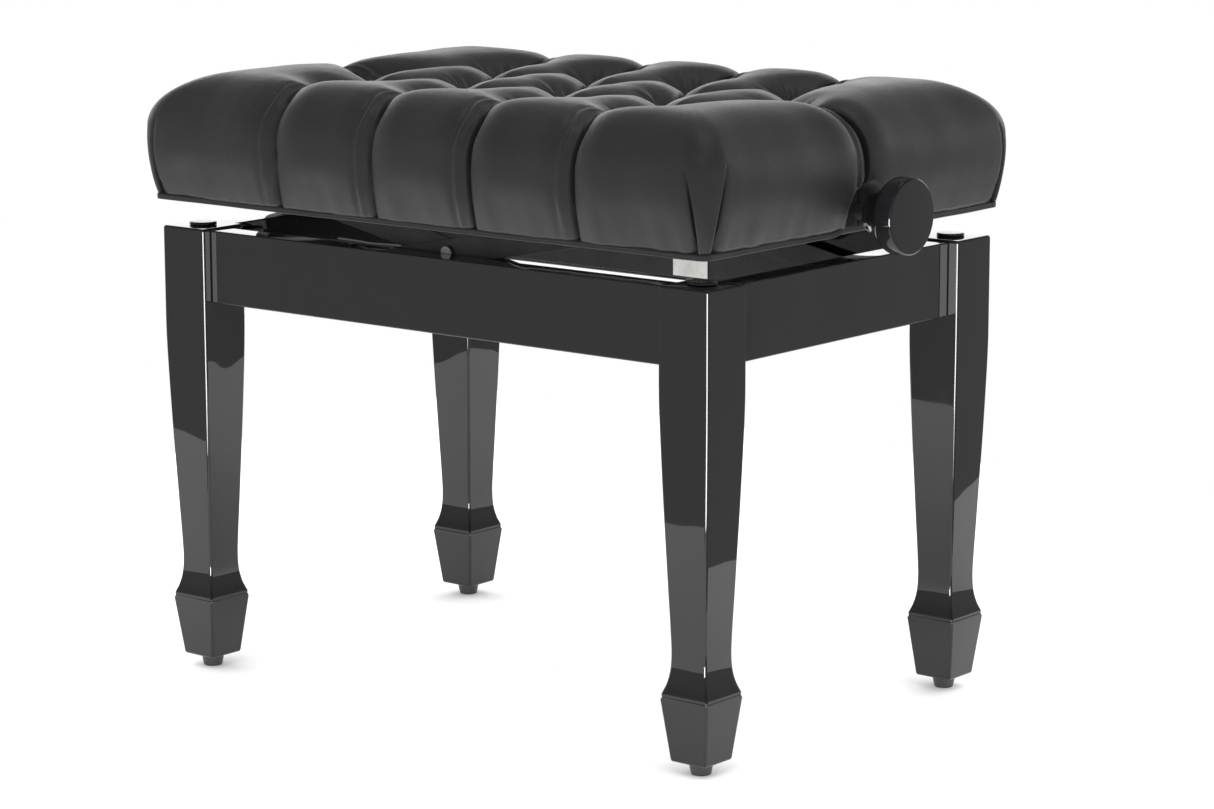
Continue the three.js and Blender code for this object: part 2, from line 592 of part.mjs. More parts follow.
// Padded leather strip on one side of the frame; the short ones are arched over the spindle.
function addBorder(side) {
  const z0 = SEAT_BOTTOM + WELT_HEIGHT + GAP;
  const z1 = SEAT_RAIL_TOP + GAP + DECK_THICKNESS;
  const inner = framePrism(GAP, z0 - 1, z1 + 1);
  const tools = [inner];
  if (side.sx) {
    const springing = BORDER_ARCH_TOP - NOTCH_HALF;
    const reach = SEAT_HALF_X + 2 * BORDER_THICKNESS;
    const inset = SEAT_HALF_X - BORDER_THICKNESS;
    const arch = turnedX([[0, inset], [NOTCH_HALF, inset], [NOTCH_HALF, reach], [0, reach]], ROUND);
    tools.push(mirrorEnd(arch, side.sx).translate(0, 0, springing - UPPER_PIVOT_Z));
    tools.push(box(side.sx > 0 ? inset : -reach, side.sx > 0 ? reach : -inset, -NOTCH_HALF, NOTCH_HALF,
      z0 - 1, springing));
  }
  const ring = framePrism(BORDER_THICKNESS, z0, z1);
  const strip = cut(common(ring, mitreWedge(side, z0 - 1, z1 + 1)), tools);
  addPiece(`border_${side.name}`, strip, FINISH.leather());
}

// Foam pad with its leather cover: a rounded slab, fuller than the frame below it.
function addCushion() {
  const bottom = SEAT_RAIL_TOP + DECK_THICKNESS + 2 * GAP;
  const height = CUSHION_TOP - bottom;
  const outline = roundedRectangle(CUSHION_X / 2 - CUSHION_EDGE, CUSHION_Y / 2 - CUSHION_EDGE,
    CUSHION_CORNER_R - CUSHION_EDGE);
  const pad = new THREE.ExtrudeGeometry(outline, {
    depth: height - CUSHION_EDGE - 1,
    bevelEnabled: true,
    bevelThickness: CUSHION_EDGE,
    bevelSize: CUSHION_EDGE,
    bevelSegments: 5,
  });
  pad.translate(0, 0, bottom + 1);
  const below = box(-CUSHION_X, CUSHION_X, -CUSHION_Y, CUSHION_Y, bottom - 2 * CUSHION_EDGE, bottom);
  addPiece("seat_cushion", cut(pad, [below]), FINISH.leather());
}

// Flat leather welt around the frame's lower edge, in two lengths that stop at the spindle.
function addWelt({ name, sy }) {
  const solid = framePrism(WELT_THICKNESS, SEAT_BOTTOM, SEAT_BOTTOM + WELT_HEIGHT);
  const inner = framePrism(GAP, SEAT_BOTTOM - 1, SEAT_BOTTOM + WELT_HEIGHT + 1);
  const y = [sy * NOTCH_HALF, -sy * SEAT_HALF_X];
  const otherHalf = box(-2 * SEAT_HALF_X, 2 * SEAT_HALF_X, Math.min(...y), Math.max(...y),
    SEAT_BOTTOM - 1, SEAT_BOTTOM + WELT_HEIGHT + 1);
  addPiece(`welt_${name}`, cut(solid, [inner, otherHalf]), FINISH.leather());
}

// ---- assembly -----------------------------------------------------------------------------------
for (const corner of CORNERS) {
  addLeg(corner);
  addGlide(corner);
  addBumper(corner);
  addCornerBlock(corner);
  addLegBolt(corner);
}
for (const side of SIDES) {
  addLongApron(side);
  addLowerRail(side);
  addLowerPivotBolt(side);
  addStandingLink(side);
  addHangingLink(side);
  addCentreRivet(side);
  addUpperRivet(side);
  addUpperRail(side);
  addLongSeatRail(side);
  addBorder(side);
  addWelt(side);
}
for (const end of ENDS) {
  addShortApron(end);
  addShortSeatRail(end);
  addBorder(end);
  addBush(end);
  addCollar(end);
  addKnob(end);
}
addLabel();
addLowerCrossbar();
addNutBar();
addSpindle();
addDeck();
addCushion();

export default group;
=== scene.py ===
import json
import math

import bmesh
import bpy
import numpy as np
from bpy.props import FloatProperty, FloatVectorProperty, IntProperty, PointerProperty
from mathutils import Matrix, Vector

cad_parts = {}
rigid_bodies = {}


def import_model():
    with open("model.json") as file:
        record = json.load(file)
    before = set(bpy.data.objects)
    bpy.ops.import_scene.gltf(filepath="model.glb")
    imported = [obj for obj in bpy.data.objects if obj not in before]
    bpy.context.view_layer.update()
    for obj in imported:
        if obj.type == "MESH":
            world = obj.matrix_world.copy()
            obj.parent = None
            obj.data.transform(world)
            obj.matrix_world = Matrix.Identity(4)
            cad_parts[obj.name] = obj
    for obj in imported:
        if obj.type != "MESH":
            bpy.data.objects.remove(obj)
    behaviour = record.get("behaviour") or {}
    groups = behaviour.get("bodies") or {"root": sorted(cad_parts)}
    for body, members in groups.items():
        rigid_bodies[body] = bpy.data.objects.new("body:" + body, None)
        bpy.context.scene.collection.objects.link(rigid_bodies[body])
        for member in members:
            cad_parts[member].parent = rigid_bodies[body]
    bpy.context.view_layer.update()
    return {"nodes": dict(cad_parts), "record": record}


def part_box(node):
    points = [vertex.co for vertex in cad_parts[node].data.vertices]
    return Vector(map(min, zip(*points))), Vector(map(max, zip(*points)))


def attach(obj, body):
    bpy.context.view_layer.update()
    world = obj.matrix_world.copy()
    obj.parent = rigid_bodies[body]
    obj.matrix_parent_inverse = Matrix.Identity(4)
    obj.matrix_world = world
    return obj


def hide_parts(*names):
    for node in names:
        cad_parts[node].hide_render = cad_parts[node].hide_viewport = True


bl_info = {
    "name": "Adjustable Piano Bench",
    "version": (1, 0, 0),
    "blender": (4, 5, 0),
    "location": "View3D > Sidebar > Piano Bench",
    "description": "Builds a piano bench with a tufted leather seat on a screw-driven scissor lift",
    "category": "Object",
}

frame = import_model()

CORNERS = (
    ("front_left", -1, -1),
    ("front_right", 1, -1),
    ("back_left", -1, 1),
    ("back_right", 1, 1),
)
SIDES = (("front", -1), ("back", 1))
ENDS = (("left", -1), ("right", 1))
MM = 0.001


# ---- node helpers -------------------------------------------------------------------------------
def add_node(tree, kind, **settings):
    """Adds a node and sets its properties."""
    node = tree.nodes.new(kind)
    for name, value in settings.items():
        setattr(node, name, value)
    return node


def set_inputs(node, **values):
    """Sets unlinked inputs by name, with underscores for spaces."""
    for name, value in values.items():
        node.inputs[name.replace("_", " ")].default_value = value
    return node


def new_group(name, inputs, outputs):
    """An empty shader node group with named float, colour or vector sockets."""
    group = bpy.data.node_groups.new(name, "ShaderNodeTree")
    for socket, kind, default in inputs:
        item = group.interface.new_socket(name=socket, in_out="INPUT", socket_type=kind)
        if default is not None:
            item.default_value = default
    for socket, kind in outputs:
        group.interface.new_socket(name=socket, in_out="OUTPUT", socket_type=kind)
    start = group.nodes.new("NodeGroupInput")
    end = group.nodes.new("NodeGroupOutput")
    return group, start, end


def variation_group():
    """Soft cloudy change between two values, for roughness and tone."""
    group, start, end = new_group(
        "soft_variation",
        [("Vector", "NodeSocketVector", None), ("Scale", "NodeSocketFloat", 20.0),
         ("Low", "NodeSocketFloat", 0.0), ("High", "NodeSocketFloat", 1.0)],
        [("Value", "NodeSocketFloat")],
    )
    noise = add_node(group, "ShaderNodeTexNoise")
    set_inputs(noise, Detail=5.0, Roughness=0.6)
    spread = add_node(group, "ShaderNodeMapRange")
    set_inputs(spread, From_Min=0.3, From_Max=0.7)
    group.links.new(start.outputs["Vector"], noise.inputs["Vector"])
    group.links.new(start.outputs["Scale"], noise.inputs["Scale"])
    group.links.new(noise.outputs["Fac"], spread.inputs["Value"])
    group.links.new(start.outputs["Low"], spread.inputs["To Min"])
    group.links.new(start.outputs["High"], spread.inputs["To Max"])
    group.links.new(spread.outputs["Result"], end.inputs["Value"])
    return group


def dust_group():
    """Thin settled dust: a mask that gathers on faces that look up."""
    group, start, end = new_group(
        "settled_dust",
        [("Vector", "NodeSocketVector", None), ("Amount", "NodeSocketFloat", 0.1)],
        [("Mask", "NodeSocketFloat")],
    )
    geometry = add_node(group, "ShaderNodeNewGeometry")
    split = add_node(group, "ShaderNodeSeparateXYZ")
    upward = add_node(group, "ShaderNodeMapRange")
    set_inputs(upward, From_Min=0.6, From_Max=1.0)
    specks = add_node(group, "ShaderNodeTexNoise")
    set_inputs(specks, Scale=420.0, Detail=3.0, Roughness=0.7)
    sparse = add_node(group, "ShaderNodeMapRange")
    set_inputs(sparse, From_Min=0.45, From_Max=0.75)
    combine = add_node(group, "ShaderNodeMath", operation="MULTIPLY")
    scale = add_node(group, "ShaderNodeMath", operation="MULTIPLY")
    group.links.new(geometry.outputs["Normal"], split.inputs["Vector"])
    group.links.new(split.outputs["Z"], upward.inputs["Value"])
    group.links.new(start.outputs["Vector"], specks.inputs["Vector"])
    group.links.new(specks.outputs["Fac"], sparse.inputs["Value"])
    group.links.new(upward.outputs["Result"], combine.inputs[0])
    group.links.new(sparse.outputs["Result"], combine.inputs[1])
    group.links.new(combine.outputs["Value"], scale.inputs[0])
    group.links.new(start.outputs["Amount"], scale.inputs[1])
    group.links.new(scale.outputs["Value"], end.inputs["Mask"])
    return group


def grain_group():
    """Leather grain: small rounded cells with fine creases between them."""
    group, start, end = new_group(
        "leather_grain",
        [("Vector", "NodeSocketVector", None), ("Cells", "NodeSocketFloat", 700.0)],
        [("Height", "NodeSocketFloat"), ("Creases", "NodeSocketFloat")],
    )
    warp = add_node(group, "ShaderNodeTexNoise")
    set_inputs(warp, Scale=160.0, Detail=2.0)
    shift = add_node(group, "ShaderNodeVectorMath", operation="SCALE")
    set_inputs(shift, Scale=0.0016)
    bend = add_node(group, "ShaderNodeVectorMath", operation="ADD")
    cells = add_node(group, "ShaderNodeTexVoronoi", feature="DISTANCE_TO_EDGE")
    set_inputs(cells, Randomness=1.0)
    rounded = add_node(group, "ShaderNodeMapRange", interpolation_type="SMOOTHSTEP")
    set_inputs(rounded, From_Min=0.0, From_Max=0.32)
    fine = add_node(group, "ShaderNodeTexNoise")
    set_inputs(fine, Scale=2400.0, Detail=2.0)
    blend = add_node(group, "ShaderNodeMath", operation="MULTIPLY_ADD")
    blend.inputs[1].default_value = 0.3
    invert = add_node(group, "ShaderNodeMath", operation="SUBTRACT")
    invert.inputs[0].default_value = 1.0
    group.links.new(start.outputs["Vector"], warp.inputs["Vector"])
    group.links.new(warp.outputs["Color"], shift.inputs[0])
    group.links.new(start.outputs["Vector"], bend.inputs[0])
    group.links.new(shift.outputs["Vector"], bend.inputs[1])
    group.links.new(bend.outputs["Vector"], cells.inputs["Vector"])
    group.links.new(start.outputs["Cells"], cells.inputs["Scale"])
    group.links.new(cells.outputs["Distance"], rounded.inputs["Value"])
    group.links.new(start.outputs["Vector"], fine.inputs["Vector"])
    group.links.new(fine.outputs["Fac"], blend.inputs[0])
    group.links.new(rounded.outputs["Result"], blend.inputs[2])
    group.links.new(rounded.outputs["Result"], invert.inputs[1])
    group.links.new(blend.outputs["Value"], end.inputs["Height"])
    group.links.new(invert.outputs["Value"], end.inputs["Creases"])
    return group


GROUP_MAKERS = {
    "soft_variation": variation_group,
    "settled_dust": dust_group,
    "leather_grain": grain_group,
}


def place_group(tree, name, vector=None, **values):
    """Puts a shared effect into a material, building it the first time."""
    group = bpy.data.node_groups.get(name) or GROUP_MAKERS[name]()
    node = add_node(tree, "ShaderNodeGroup", node_tree=group)
    if vector is not None:
        tree.links.new(vector, node.inputs["Vector"])
    return set_inputs(node, **values)


def blank_material(name):
    """A material with only its Principled shader, and its object coordinates."""
    material = bpy.data.materials.new(name)
    material.use_nodes = True
    tree = material.node_tree
    tree.nodes.clear()
    output = add_node(tree, "ShaderNodeOutputMaterial")
    shader = add_node(tree, "ShaderNodeBsdfPrincipled")
    tree.links.new(shader.outputs["BSDF"], output.inputs["Surface"])
    place = add_node(tree, "ShaderNodeTexCoord")
    return material, tree, shader, place.outputs["Object"]


def mix_colour(tree, mask, dark, light):
    """A colour that goes from dark to light with a mask."""
    mix = add_node(tree, "ShaderNodeMix", data_type="RGBA")
    mix.inputs["A"].default_value = (*dark, 1.0)
    mix.inputs["B"].default_value = (*light, 1.0)
    tree.links.new(mask, mix.inputs["Factor"])
    return mix.outputs["Result"]


def add_bump(tree, shader, height, distance, strength=1.0):
    """Feeds a height into the shader's normal."""
    bump = add_node(tree, "ShaderNodeBump")
    set_inputs(bump, Strength=strength, Distance=distance)
    tree.links.new(height, bump.inputs["Height"])
    tree.links.new(bump.outputs["Normal"], shader.inputs["Normal"])


# ---- finishes -----------------------------------------------------------------------------------
def lacquer_material(name, colour, roughness):
    """Polished black lacquer with a faint orange peel and a little dust on top faces."""
    material, tree, shader, place = blank_material(name)
    dust = place_group(tree, "settled_dust", place, Amount=0.10)
    colours = mix_colour(tree, dust.outputs["Mask"], colour, (0.10, 0.10, 0.10))
    tree.links.new(colours, shader.inputs["Base Color"])
    polish = place_group(tree, "soft_variation", place, Scale=14.0, Low=roughness, High=roughness * 1.7)
    tree.links.new(polish.outputs["Value"], shader.inputs["Roughness"])
    set_inputs(shader, IOR=1.5)
    peel = add_node(tree, "ShaderNodeTexNoise")
    set_inputs(peel, Scale=15.0, Detail=1.0, Roughness=0.3)
    tree.links.new(place, peel.inputs["Vector"])
    add_bump(tree, shader, peel.outputs["Fac"], 0.0022, 0.5)
    return material


def leather_material(name, colour):
    """Black upholstery leather: fine grain, soft sheen, and painted shade that darkens the colour down in the folds.
    """
    material, tree, shader, place = blank_material(name)
    grain = place_group(tree, "leather_grain", place, Cells=620.0)
    # the fold attribute is a painted shade mask: it darkens the base colour in creases, tuft pits and notches, and
    # dulls the roughness there
    fold = add_node(tree, "ShaderNodeAttribute", attribute_name="fold")
    tone = place_group(tree, "soft_variation", place, Scale=16.0, Low=0.35, High=1.0)
    light = tuple(min(1.0, c * 1.35) for c in colour)
    dark = tuple(c * 0.75 for c in colour)
    clean = mix_colour(tree, tone.outputs["Value"], dark, light)
    # painted shade: near-black colour mixed in by the fold mask where the creases would fall into shadow
    shade = add_node(tree, "ShaderNodeMix", data_type="RGBA")
    shade.inputs["B"].default_value = (0.002, 0.002, 0.002, 1.0)
    tree.links.new(clean, shade.inputs["A"])
    tree.links.new(fold.outputs["Fac"], shade.inputs["Factor"])
    tree.links.new(shade.outputs["Result"], shader.inputs["Base Color"])
    worn = place_group(tree, "soft_variation", place, Scale=9.0, Low=0.29, High=0.37)
    rough = add_node(tree, "ShaderNodeMath", operation="MULTIPLY_ADD")
    rough.inputs[1].default_value = 0.10
    tree.links.new(grain.outputs["Creases"], rough.inputs[0])
    tree.links.new(worn.outputs["Value"], rough.inputs[2])
    dull = add_node(tree, "ShaderNodeMath", operation="MULTIPLY_ADD", use_clamp=True)
    dull.inputs[1].default_value = 0.5
    tree.links.new(fold.outputs["Fac"], dull.inputs[0])
    tree.links.new(rough.outputs["Value"], dull.inputs[2])
    tree.links.new(dull.outputs["Value"], shader.inputs["Roughness"])
    set_inputs(shader, IOR=1.46, Specular_IOR_Level=0.5, Sheen_Weight=0.04, Sheen_Roughness=0.4)
    add_bump(tree, shader, grain.outputs["Height"], 0.00010, 0.55)
    return material


def coated_steel_material(name, colour):
    """Black-coated steel with a fine texture."""
    material, tree, shader, place = blank_material(name)
    tone = place_group(tree, "soft_variation", place, Scale=40.0, Low=0.0, High=1.0)
    light = tuple(c * 2.2 for c in colour)
    tree.links.new(mix_colour(tree, tone.outputs["Value"], colour, light), shader.inputs["Base Color"])
    rough = place_group(tree, "soft_variation", place, Scale=25.0, Low=0.24, High=0.38)
    tree.links.new(rough.outputs["Value"], shader.inputs["Roughness"])
    texture = add_node(tree, "ShaderNodeTexNoise")
    set_inputs(texture, Scale=1100.0, Detail=2.0)
    tree.links.new(place, texture.inputs["Vector"])
    add_bump(tree, shader, texture.outputs["Fac"], 0.00006, 0.5)
    return material


def bare_metal_material(name, colour, low, high):
    """Plated or turned metal with slight tarnish."""
    material, tree, shader, place = blank_material(name)
    tarnish = place_group(tree, "soft_variation", place, Scale=60.0, Low=0.0, High=1.0)
    dull = tuple(c * 0.72 for c in colour)
    tree.links.new(mix_colour(tree, tarnish.outputs["Value"], colour, dull), shader.inputs["Base Color"])
    rough = place_group(tree, "soft_variation", place, Scale=90.0, Low=low, High=high)
    tree.links.new(rough.outputs["Value"], shader.inputs["Roughness"])
    set_inputs(shader, Metallic=1.0)
    return material


def plastic_material(name, colour, low, high, peel_depth=0.00004):
    """Moulded plastic or rubber with a faint moulded texture."""
    material, tree, shader, place = blank_material(name)
    tone = place_group(tree, "soft_variation", place, Scale=50.0, Low=0.0, High=1.0)
    light = tuple(c * 1.5 for c in colour)
    tree.links.new(mix_colour(tree, tone.outputs["Value"], colour, light), shader.inputs["Base Color"])
    rough = place_group(tree, "soft_variation", place, Scale=30.0, Low=low, High=high)
    tree.links.new(rough.outputs["Value"], shader.inputs["Roughness"])
    texture = add_node(tree, "ShaderNodeTexNoise")
    set_inputs(texture, Scale=600.0, Detail=2.0)
    tree.links.new(place, texture.inputs["Vector"])
    add_bump(tree, shader, texture.outputs["Fac"], peel_depth, 0.4)
    return material


def wood_material(name, dark, light, stretch, rough_low, rough_high):
    """Plain wood: stretched grain along one axis, with fine pores."""
    material, tree, shader, place = blank_material(name)
    mapping = add_node(tree, "ShaderNodeMapping")
    set_inputs(mapping, Scale=stretch)
    tree.links.new(place, mapping.inputs["Vector"])
    rings = add_node(tree, "ShaderNodeTexNoise")
    set_inputs(rings, Scale=22.0, Detail=6.0, Roughness=0.65, Distortion=0.4)
    tree.links.new(mapping.outputs["Vector"], rings.inputs["Vector"])
    contrast = add_node(tree, "ShaderNodeMapRange")
    set_inputs(contrast, From_Min=0.35, From_Max=0.65)
    tree.links.new(rings.outputs["Fac"], contrast.inputs["Value"])
    tree.links.new(mix_colour(tree, contrast.outputs["Result"], dark, light), shader.inputs["Base Color"])
    rough = place_group(tree, "soft_variation", place, Scale=35.0, Low=rough_low, High=rough_high)
    tree.links.new(rough.outputs["Value"], shader.inputs["Roughness"])
    pores = add_node(tree, "ShaderNodeTexNoise")
    set_inputs(pores, Scale=260.0, Detail=3.0)
    tree.links.new(mapping.outputs["Vector"], pores.inputs["Vector"])
    add_bump(tree, shader, pores.outputs["Fac"], 0.0002, 0.5)
    return material


FINISHES = {}


def finish(slot):
    """The finish for a material slot of the record."""
    if slot in FINISHES:
        return FINISHES[slot]
    colours = bpy.context.scene.bench_finish
    makers = {
        "black_lacquer": lambda: lacquer_material("black_lacquer", tuple(colours.lacquer), colours.lacquer_roughness),
        "leather": lambda: leather_material("black_leather", tuple(colours.leather)),
        "plywood": lambda: wood_material("plywood", (0.035, 0.025, 0.017), (0.09, 0.066, 0.044), (0.25, 3.0, 6.0),
                                         0.55, 0.7),
        "inner_wood": lambda: wood_material("stained_wood", (0.010, 0.008, 0.007), (0.03, 0.024, 0.02),
                                            (0.3, 2.5, 3.0), 0.35, 0.5),
        "black_steel": lambda: coated_steel_material("coated_steel", tuple(colours.steel)),
        "zinc_steel": lambda: bare_metal_material("zinc_plate", (0.50, 0.51, 0.52), 0.28, 0.42),
        "knob_plastic": lambda: lacquer_material("knob_gloss", (0.004, 0.004, 0.0045), 0.05),
        "bumper_rubber": lambda: plastic_material("bumper_rubber", (0.006, 0.006, 0.006), 0.12, 0.2),
        "glide_plastic": lambda: plastic_material("glide_plastic", (0.035, 0.035, 0.037), 0.4, 0.55),
        "bush_nylon": lambda: plastic_material("bush_nylon", (0.008, 0.008, 0.008), 0.4, 0.55),
        "label": lambda: plastic_material("label_plate", (0.62, 0.62, 0.6), 0.35, 0.5, 0.00002),
    }
    FINISHES[slot] = makers[slot]()
    return FINISHES[slot]


# ---- modelling helpers --------------------------------------------------------------------------
def make_object(name, bm, slot, body, replaces=(), smooth=True):
    """Turns a bmesh into a finished piece that rides on a body."""
    bmesh.ops.recalc_face_normals(bm, faces=bm.faces)
    for face in bm.faces:
        face.smooth = smooth
    mesh = bpy.data.meshes.new(name)
    bm.to_mesh(mesh)
    bm.free()
    piece = bpy.data.objects.new(name, mesh)
    bpy.context.scene.collection.objects.link(piece)
    mesh.materials.append(finish(slot))
    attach(piece, body)
    if replaces:
        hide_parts(*replaces)
    return piece


def even_normals(piece):
    """Keeps flat faces flat next to rounded edges."""
    modifier = piece.modifiers.new("even_normals", "WEIGHTED_NORMAL")
    modifier.keep_sharp = True
    modifier.weight = 80
    return piece


def bevel_edges(bm, edges, width, segments=3):
    """Rounds edges with the editor's usual settings."""
    bmesh.ops.bevel(
        bm, geom=list(edges), offset=width, offset_type="OFFSET", affect="EDGES",
        segments=segments, profile=0.5, material=-1, clamp_overlap=True,
    )


def rounded_block(low, high, radius, segments=3):
    """A box between two corners with rounded edges."""
    bm = bmesh.new()
    low, high = Vector(low), Vector(high)
    bmesh.ops.create_cube(bm, size=1.0)
    bmesh.ops.scale(bm, vec=high - low, verts=bm.verts)
    bmesh.ops.translate(bm, vec=(high + low) / 2, verts=bm.verts)
    bevel_edges(bm, bm.edges, radius, segments)
    return bm


def turned(profile, axis, steps=64):
    """Spins a profile of (distance along axis, radius) into a closed solid about X or Z."""
    bm = bmesh.new()
    rows = []
    for along, radius in profile:
        point = (along, 0.0, radius) if axis == "X" else (radius, 0.0, along)
        rows.append(bm.verts.new(point))
    edges = [bm.edges.new(pair) for pair in zip(rows, rows[1:])]
    direction = (1, 0, 0) if axis == "X" else (0, 0, 1)
    bmesh.ops.spin(
        bm, geom=rows + edges, cent=(0, 0, 0), axis=direction, angle=2 * math.pi,
        steps=steps, use_merge=True, use_duplicate=False,
    )
    bmesh.ops.remove_doubles(bm, verts=bm.verts, dist=1e-6)
    return bm


def rounded_profile(points, radius, segments=4):
    """Rounds the inner corners of a (along, radius) profile that runs from axis to axis."""
    result = [points[0]]
    for before, here, after in zip(points, points[1:], points[2:]):
        a, b, c = (np.array(p, dtype=float) for p in (before, here, after))
        into, out = a - b, c - b
        reach = min(radius, np.linalg.norm(into) * 0.45, np.linalg.norm(out) * 0.45)
        start = b + into / np.linalg.norm(into) * reach
        end = b + out / np.linalg.norm(out) * reach
        for i in range(segments + 1):
            t = i / segments
            point = (1 - t) ** 2 * start + 2 * t * (1 - t) * b + t ** 2 * end
            result.append(tuple(point))
    result.append(points[-1])
    return result


# ---- legs and aprons ----------------------------------------------------------------------------
LEG_LEVELS = (            # height above the floor, width, in millimetres
    (10, 33.0), (57, 44.2), (60, 44.4), (63, 42.4), (69, 38.0), (76, 34.8), (84, 33.1), (92, 32.7),
    (110, 33.7), (135, 35.8), (167, 38.4), (204, 41.4), (241, 43.9), (270, 45.5), (290, 46.0), (365, 46.0),
)


def leg_widths(step=4.0):
    """Leg sections at close heights, smooth except at the foot's widest ridge."""
    heights = np.array([level[0] for level in LEG_LEVELS])
    widths = np.array([level[1] for level in LEG_LEVELS])
    upper = heights >= 60
    knots, values = heights[upper], widths[upper]
    slopes = np.gradient(values, knots)
    slopes[-1] = slopes[-2] = 0.0
    dense = np.unique(np.concatenate([np.arange(60, 100, 2.0), np.arange(100, 292, step), [365.0]]))
    index = np.clip(np.searchsorted(knots, dense, side="right") - 1, 0, len(knots) - 2)
    span = knots[index + 1] - knots[index]
    t = (dense - knots[index]) / span
    smooth = ((1 + 2 * t) * (1 - t) ** 2 * values[index] + t * (1 - t) ** 2 * span * slopes[index]
              + t * t * (3 - 2 * t) * values[index + 1] + t * t * (t - 1) * span * slopes[index + 1])
    return [(10.0, 33.0)] + [(57.5, 44.3)] + list(zip(dense.tolist(), smooth.tolist()))


def build_leg(name, sx, sy, edge_radius):
    """A square leg: straight head, long taper, slim ankle and flared foot."""
    low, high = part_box(f"leg_{name}")
    levels = leg_widths()
    heights = [level[0] * MM for level in levels]
    halves = [level[1] * MM / 2 for level in levels]
    bm = bmesh.new()
    bmesh.ops.create_cube(bm, size=1.0)
    for vert in bm.verts:
        vert.co.z = heights[-1] if vert.co.z > 0 else heights[0]
    for height in heights[1:-1]:
        bmesh.ops.bisect_plane(
            bm, geom=bm.verts[:] + bm.edges[:] + bm.faces[:], plane_co=(0, 0, height), plane_no=(0, 0, 1),
        )
    for vert in bm.verts:
        half = float(np.interp(vert.co.z, heights, halves))
        vert.co.x = math.copysign(half, vert.co.x)
        vert.co.y = math.copysign(half, vert.co.y)
    level_edges = [e for e in bm.edges if abs(e.verts[0].co.z - e.verts[1].co.z) < 1e-6
                   and heights[0] + 1e-5 < e.verts[0].co.z < heights[-1] - 1e-5]
    rest = [e for e in bm.edges if e not in set(level_edges)]
    bevel_edges(bm, rest, edge_radius, 3)
    bmesh.ops.translate(bm, vec=((low[0] + high[0]) / 2, (low[1] + high[1]) / 2, 0), verts=bm.verts)
    piece = make_object(f"tapered_leg_{name}", bm, "black_lacquer", "bench", [f"leg_{name}"])
    return even_normals(piece)


def build_apron(name, edge_radius):
    """A polished board between two legs."""
    low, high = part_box(f"apron_{name}")
    bm = rounded_block(low, high, edge_radius)
    piece = make_object(f"apron_board_{name}", bm, "black_lacquer", "bench", [f"apron_{name}"])
    return even_normals(piece)


def build_glide(name, sx, sy):
    """Round plastic glide under a foot."""
    low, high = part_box(f"glide_{name}")
    top = 9.7 * MM
    profile = rounded_profile([(0, 0), (0, 7.4 * MM), (top, 9.5 * MM), (top, 3 * MM), (high[2], 3 * MM),
                               (high[2], 0)], 0.9 * MM)
    bm = turned(profile, "Z", 48)
    bmesh.ops.translate(bm, vec=((low[0] + high[0]) / 2, (low[1] + high[1]) / 2, 0), verts=bm.verts)
    return make_object(f"foot_glide_{name}", bm, "glide_plastic", "bench", [f"glide_{name}"])


def build_bumper(name, sx, sy):
    """Thin rubber stop on a leg top."""
    low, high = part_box(f"bumper_{name}")
    bottom = 365.3 * MM
    top = high[2]
    outline = [(low[2], 0), (low[2], 3 * MM), (bottom, 3 * MM), (bottom, 11 * MM), (top - 0.5 * MM, 11 * MM),
               (top, 10 * MM), (top, 0)]
    bm = turned(rounded_profile(outline, 0.5 * MM), "Z", 56)
    bmesh.ops.translate(bm, vec=((low[0] + high[0]) / 2, (low[1] + high[1]) / 2, 0), verts=bm.verts)
    return make_object(f"stop_bumper_{name}", bm, "bumper_rubber", "bench", [f"bumper_{name}"])


# ---- knobs and spindle --------------------------------------------------------------------------
def build_knob(name, sx, face_radius, disc_thickness):
    """Plain disc knob with a flat polished face and a tapered hub."""
    low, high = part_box(f"knob_{name}")
    outer = high[0] if sx > 0 else -low[0]
    inner = low[0] if sx > 0 else -high[0]
    axis_height = (low[2] + high[2]) / 2
    reach = outer - disc_thickness - inner
    hub = ((0.0, 13.0), (0.05, 14.4), (0.3, 16.4), (0.55, 20.3), (0.8, 25.6), (0.92, 28.0), (1.0, 29.0))
    profile = [(inner, 6.3 * MM)]
    profile += [(inner + reach * along, radius / 29 * face_radius) for along, radius in hub]
    profile += [(outer - 1.3 * MM, face_radius), (outer, face_radius - 1.3 * MM), (outer, 0)]
    rounded = rounded_profile(profile, 1.8 * MM, 5)
    bore = [(outer - 11 * MM, 0), (outer - 11 * MM, 6.3 * MM)]
    bm = turned(bore + rounded, "X", 96)
    if sx < 0:
        bmesh.ops.rotate(bm, cent=(0, 0, 0), matrix=Matrix.Rotation(math.pi, 3, "Z"), verts=bm.verts)
    bmesh.ops.translate(bm, vec=(0, 0, axis_height), verts=bm.verts)
    return make_object(f"seat_knob_{name}", bm, "knob_plastic", "spindle", [f"knob_{name}"])


def build_spindle(thread_start, thread_end, lead):
    """The steel spindle, with its two-start thread cut where the nut bar travels."""
    low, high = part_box("spindle")
    radius = (high[1] - low[1]) / 2
    depth = 1.1 * MM
    steps_per_lead = 24
    threaded = np.arange(thread_start, thread_end, lead / steps_per_lead)
    profile = [(low[0], 0), (low[0], radius - MM), (low[0] + MM, radius)]
    profile += [(along, radius) for along in threaded]
    profile += [(high[0] - MM, radius), (high[0], radius - MM), (high[0], 0)]
    bm = turned(profile, "X", 36)
    for vert in bm.verts:
        along = vert.co.x
        if thread_start < along < thread_end:
            angle = math.atan2(vert.co.z, vert.co.y)
            phase = (2 * along / lead - 2 * angle / (2 * math.pi) * 1.0) % 1.0
            fade = min(1.0, (along - thread_start) / lead, (thread_end - along) / lead)
            cut = depth * fade * min(1.0, max(0.0, 4 * abs(phase - 0.5) - 0.5))
            scale = (radius - cut) / radius
            vert.co.y *= scale
            vert.co.z *= scale
    bmesh.ops.translate(bm, vec=(0, 0, (low[2] + high[2]) / 2), verts=bm.verts)
    return make_object("lift_spindle", bm, "black_steel", "spindle", ["spindle"])


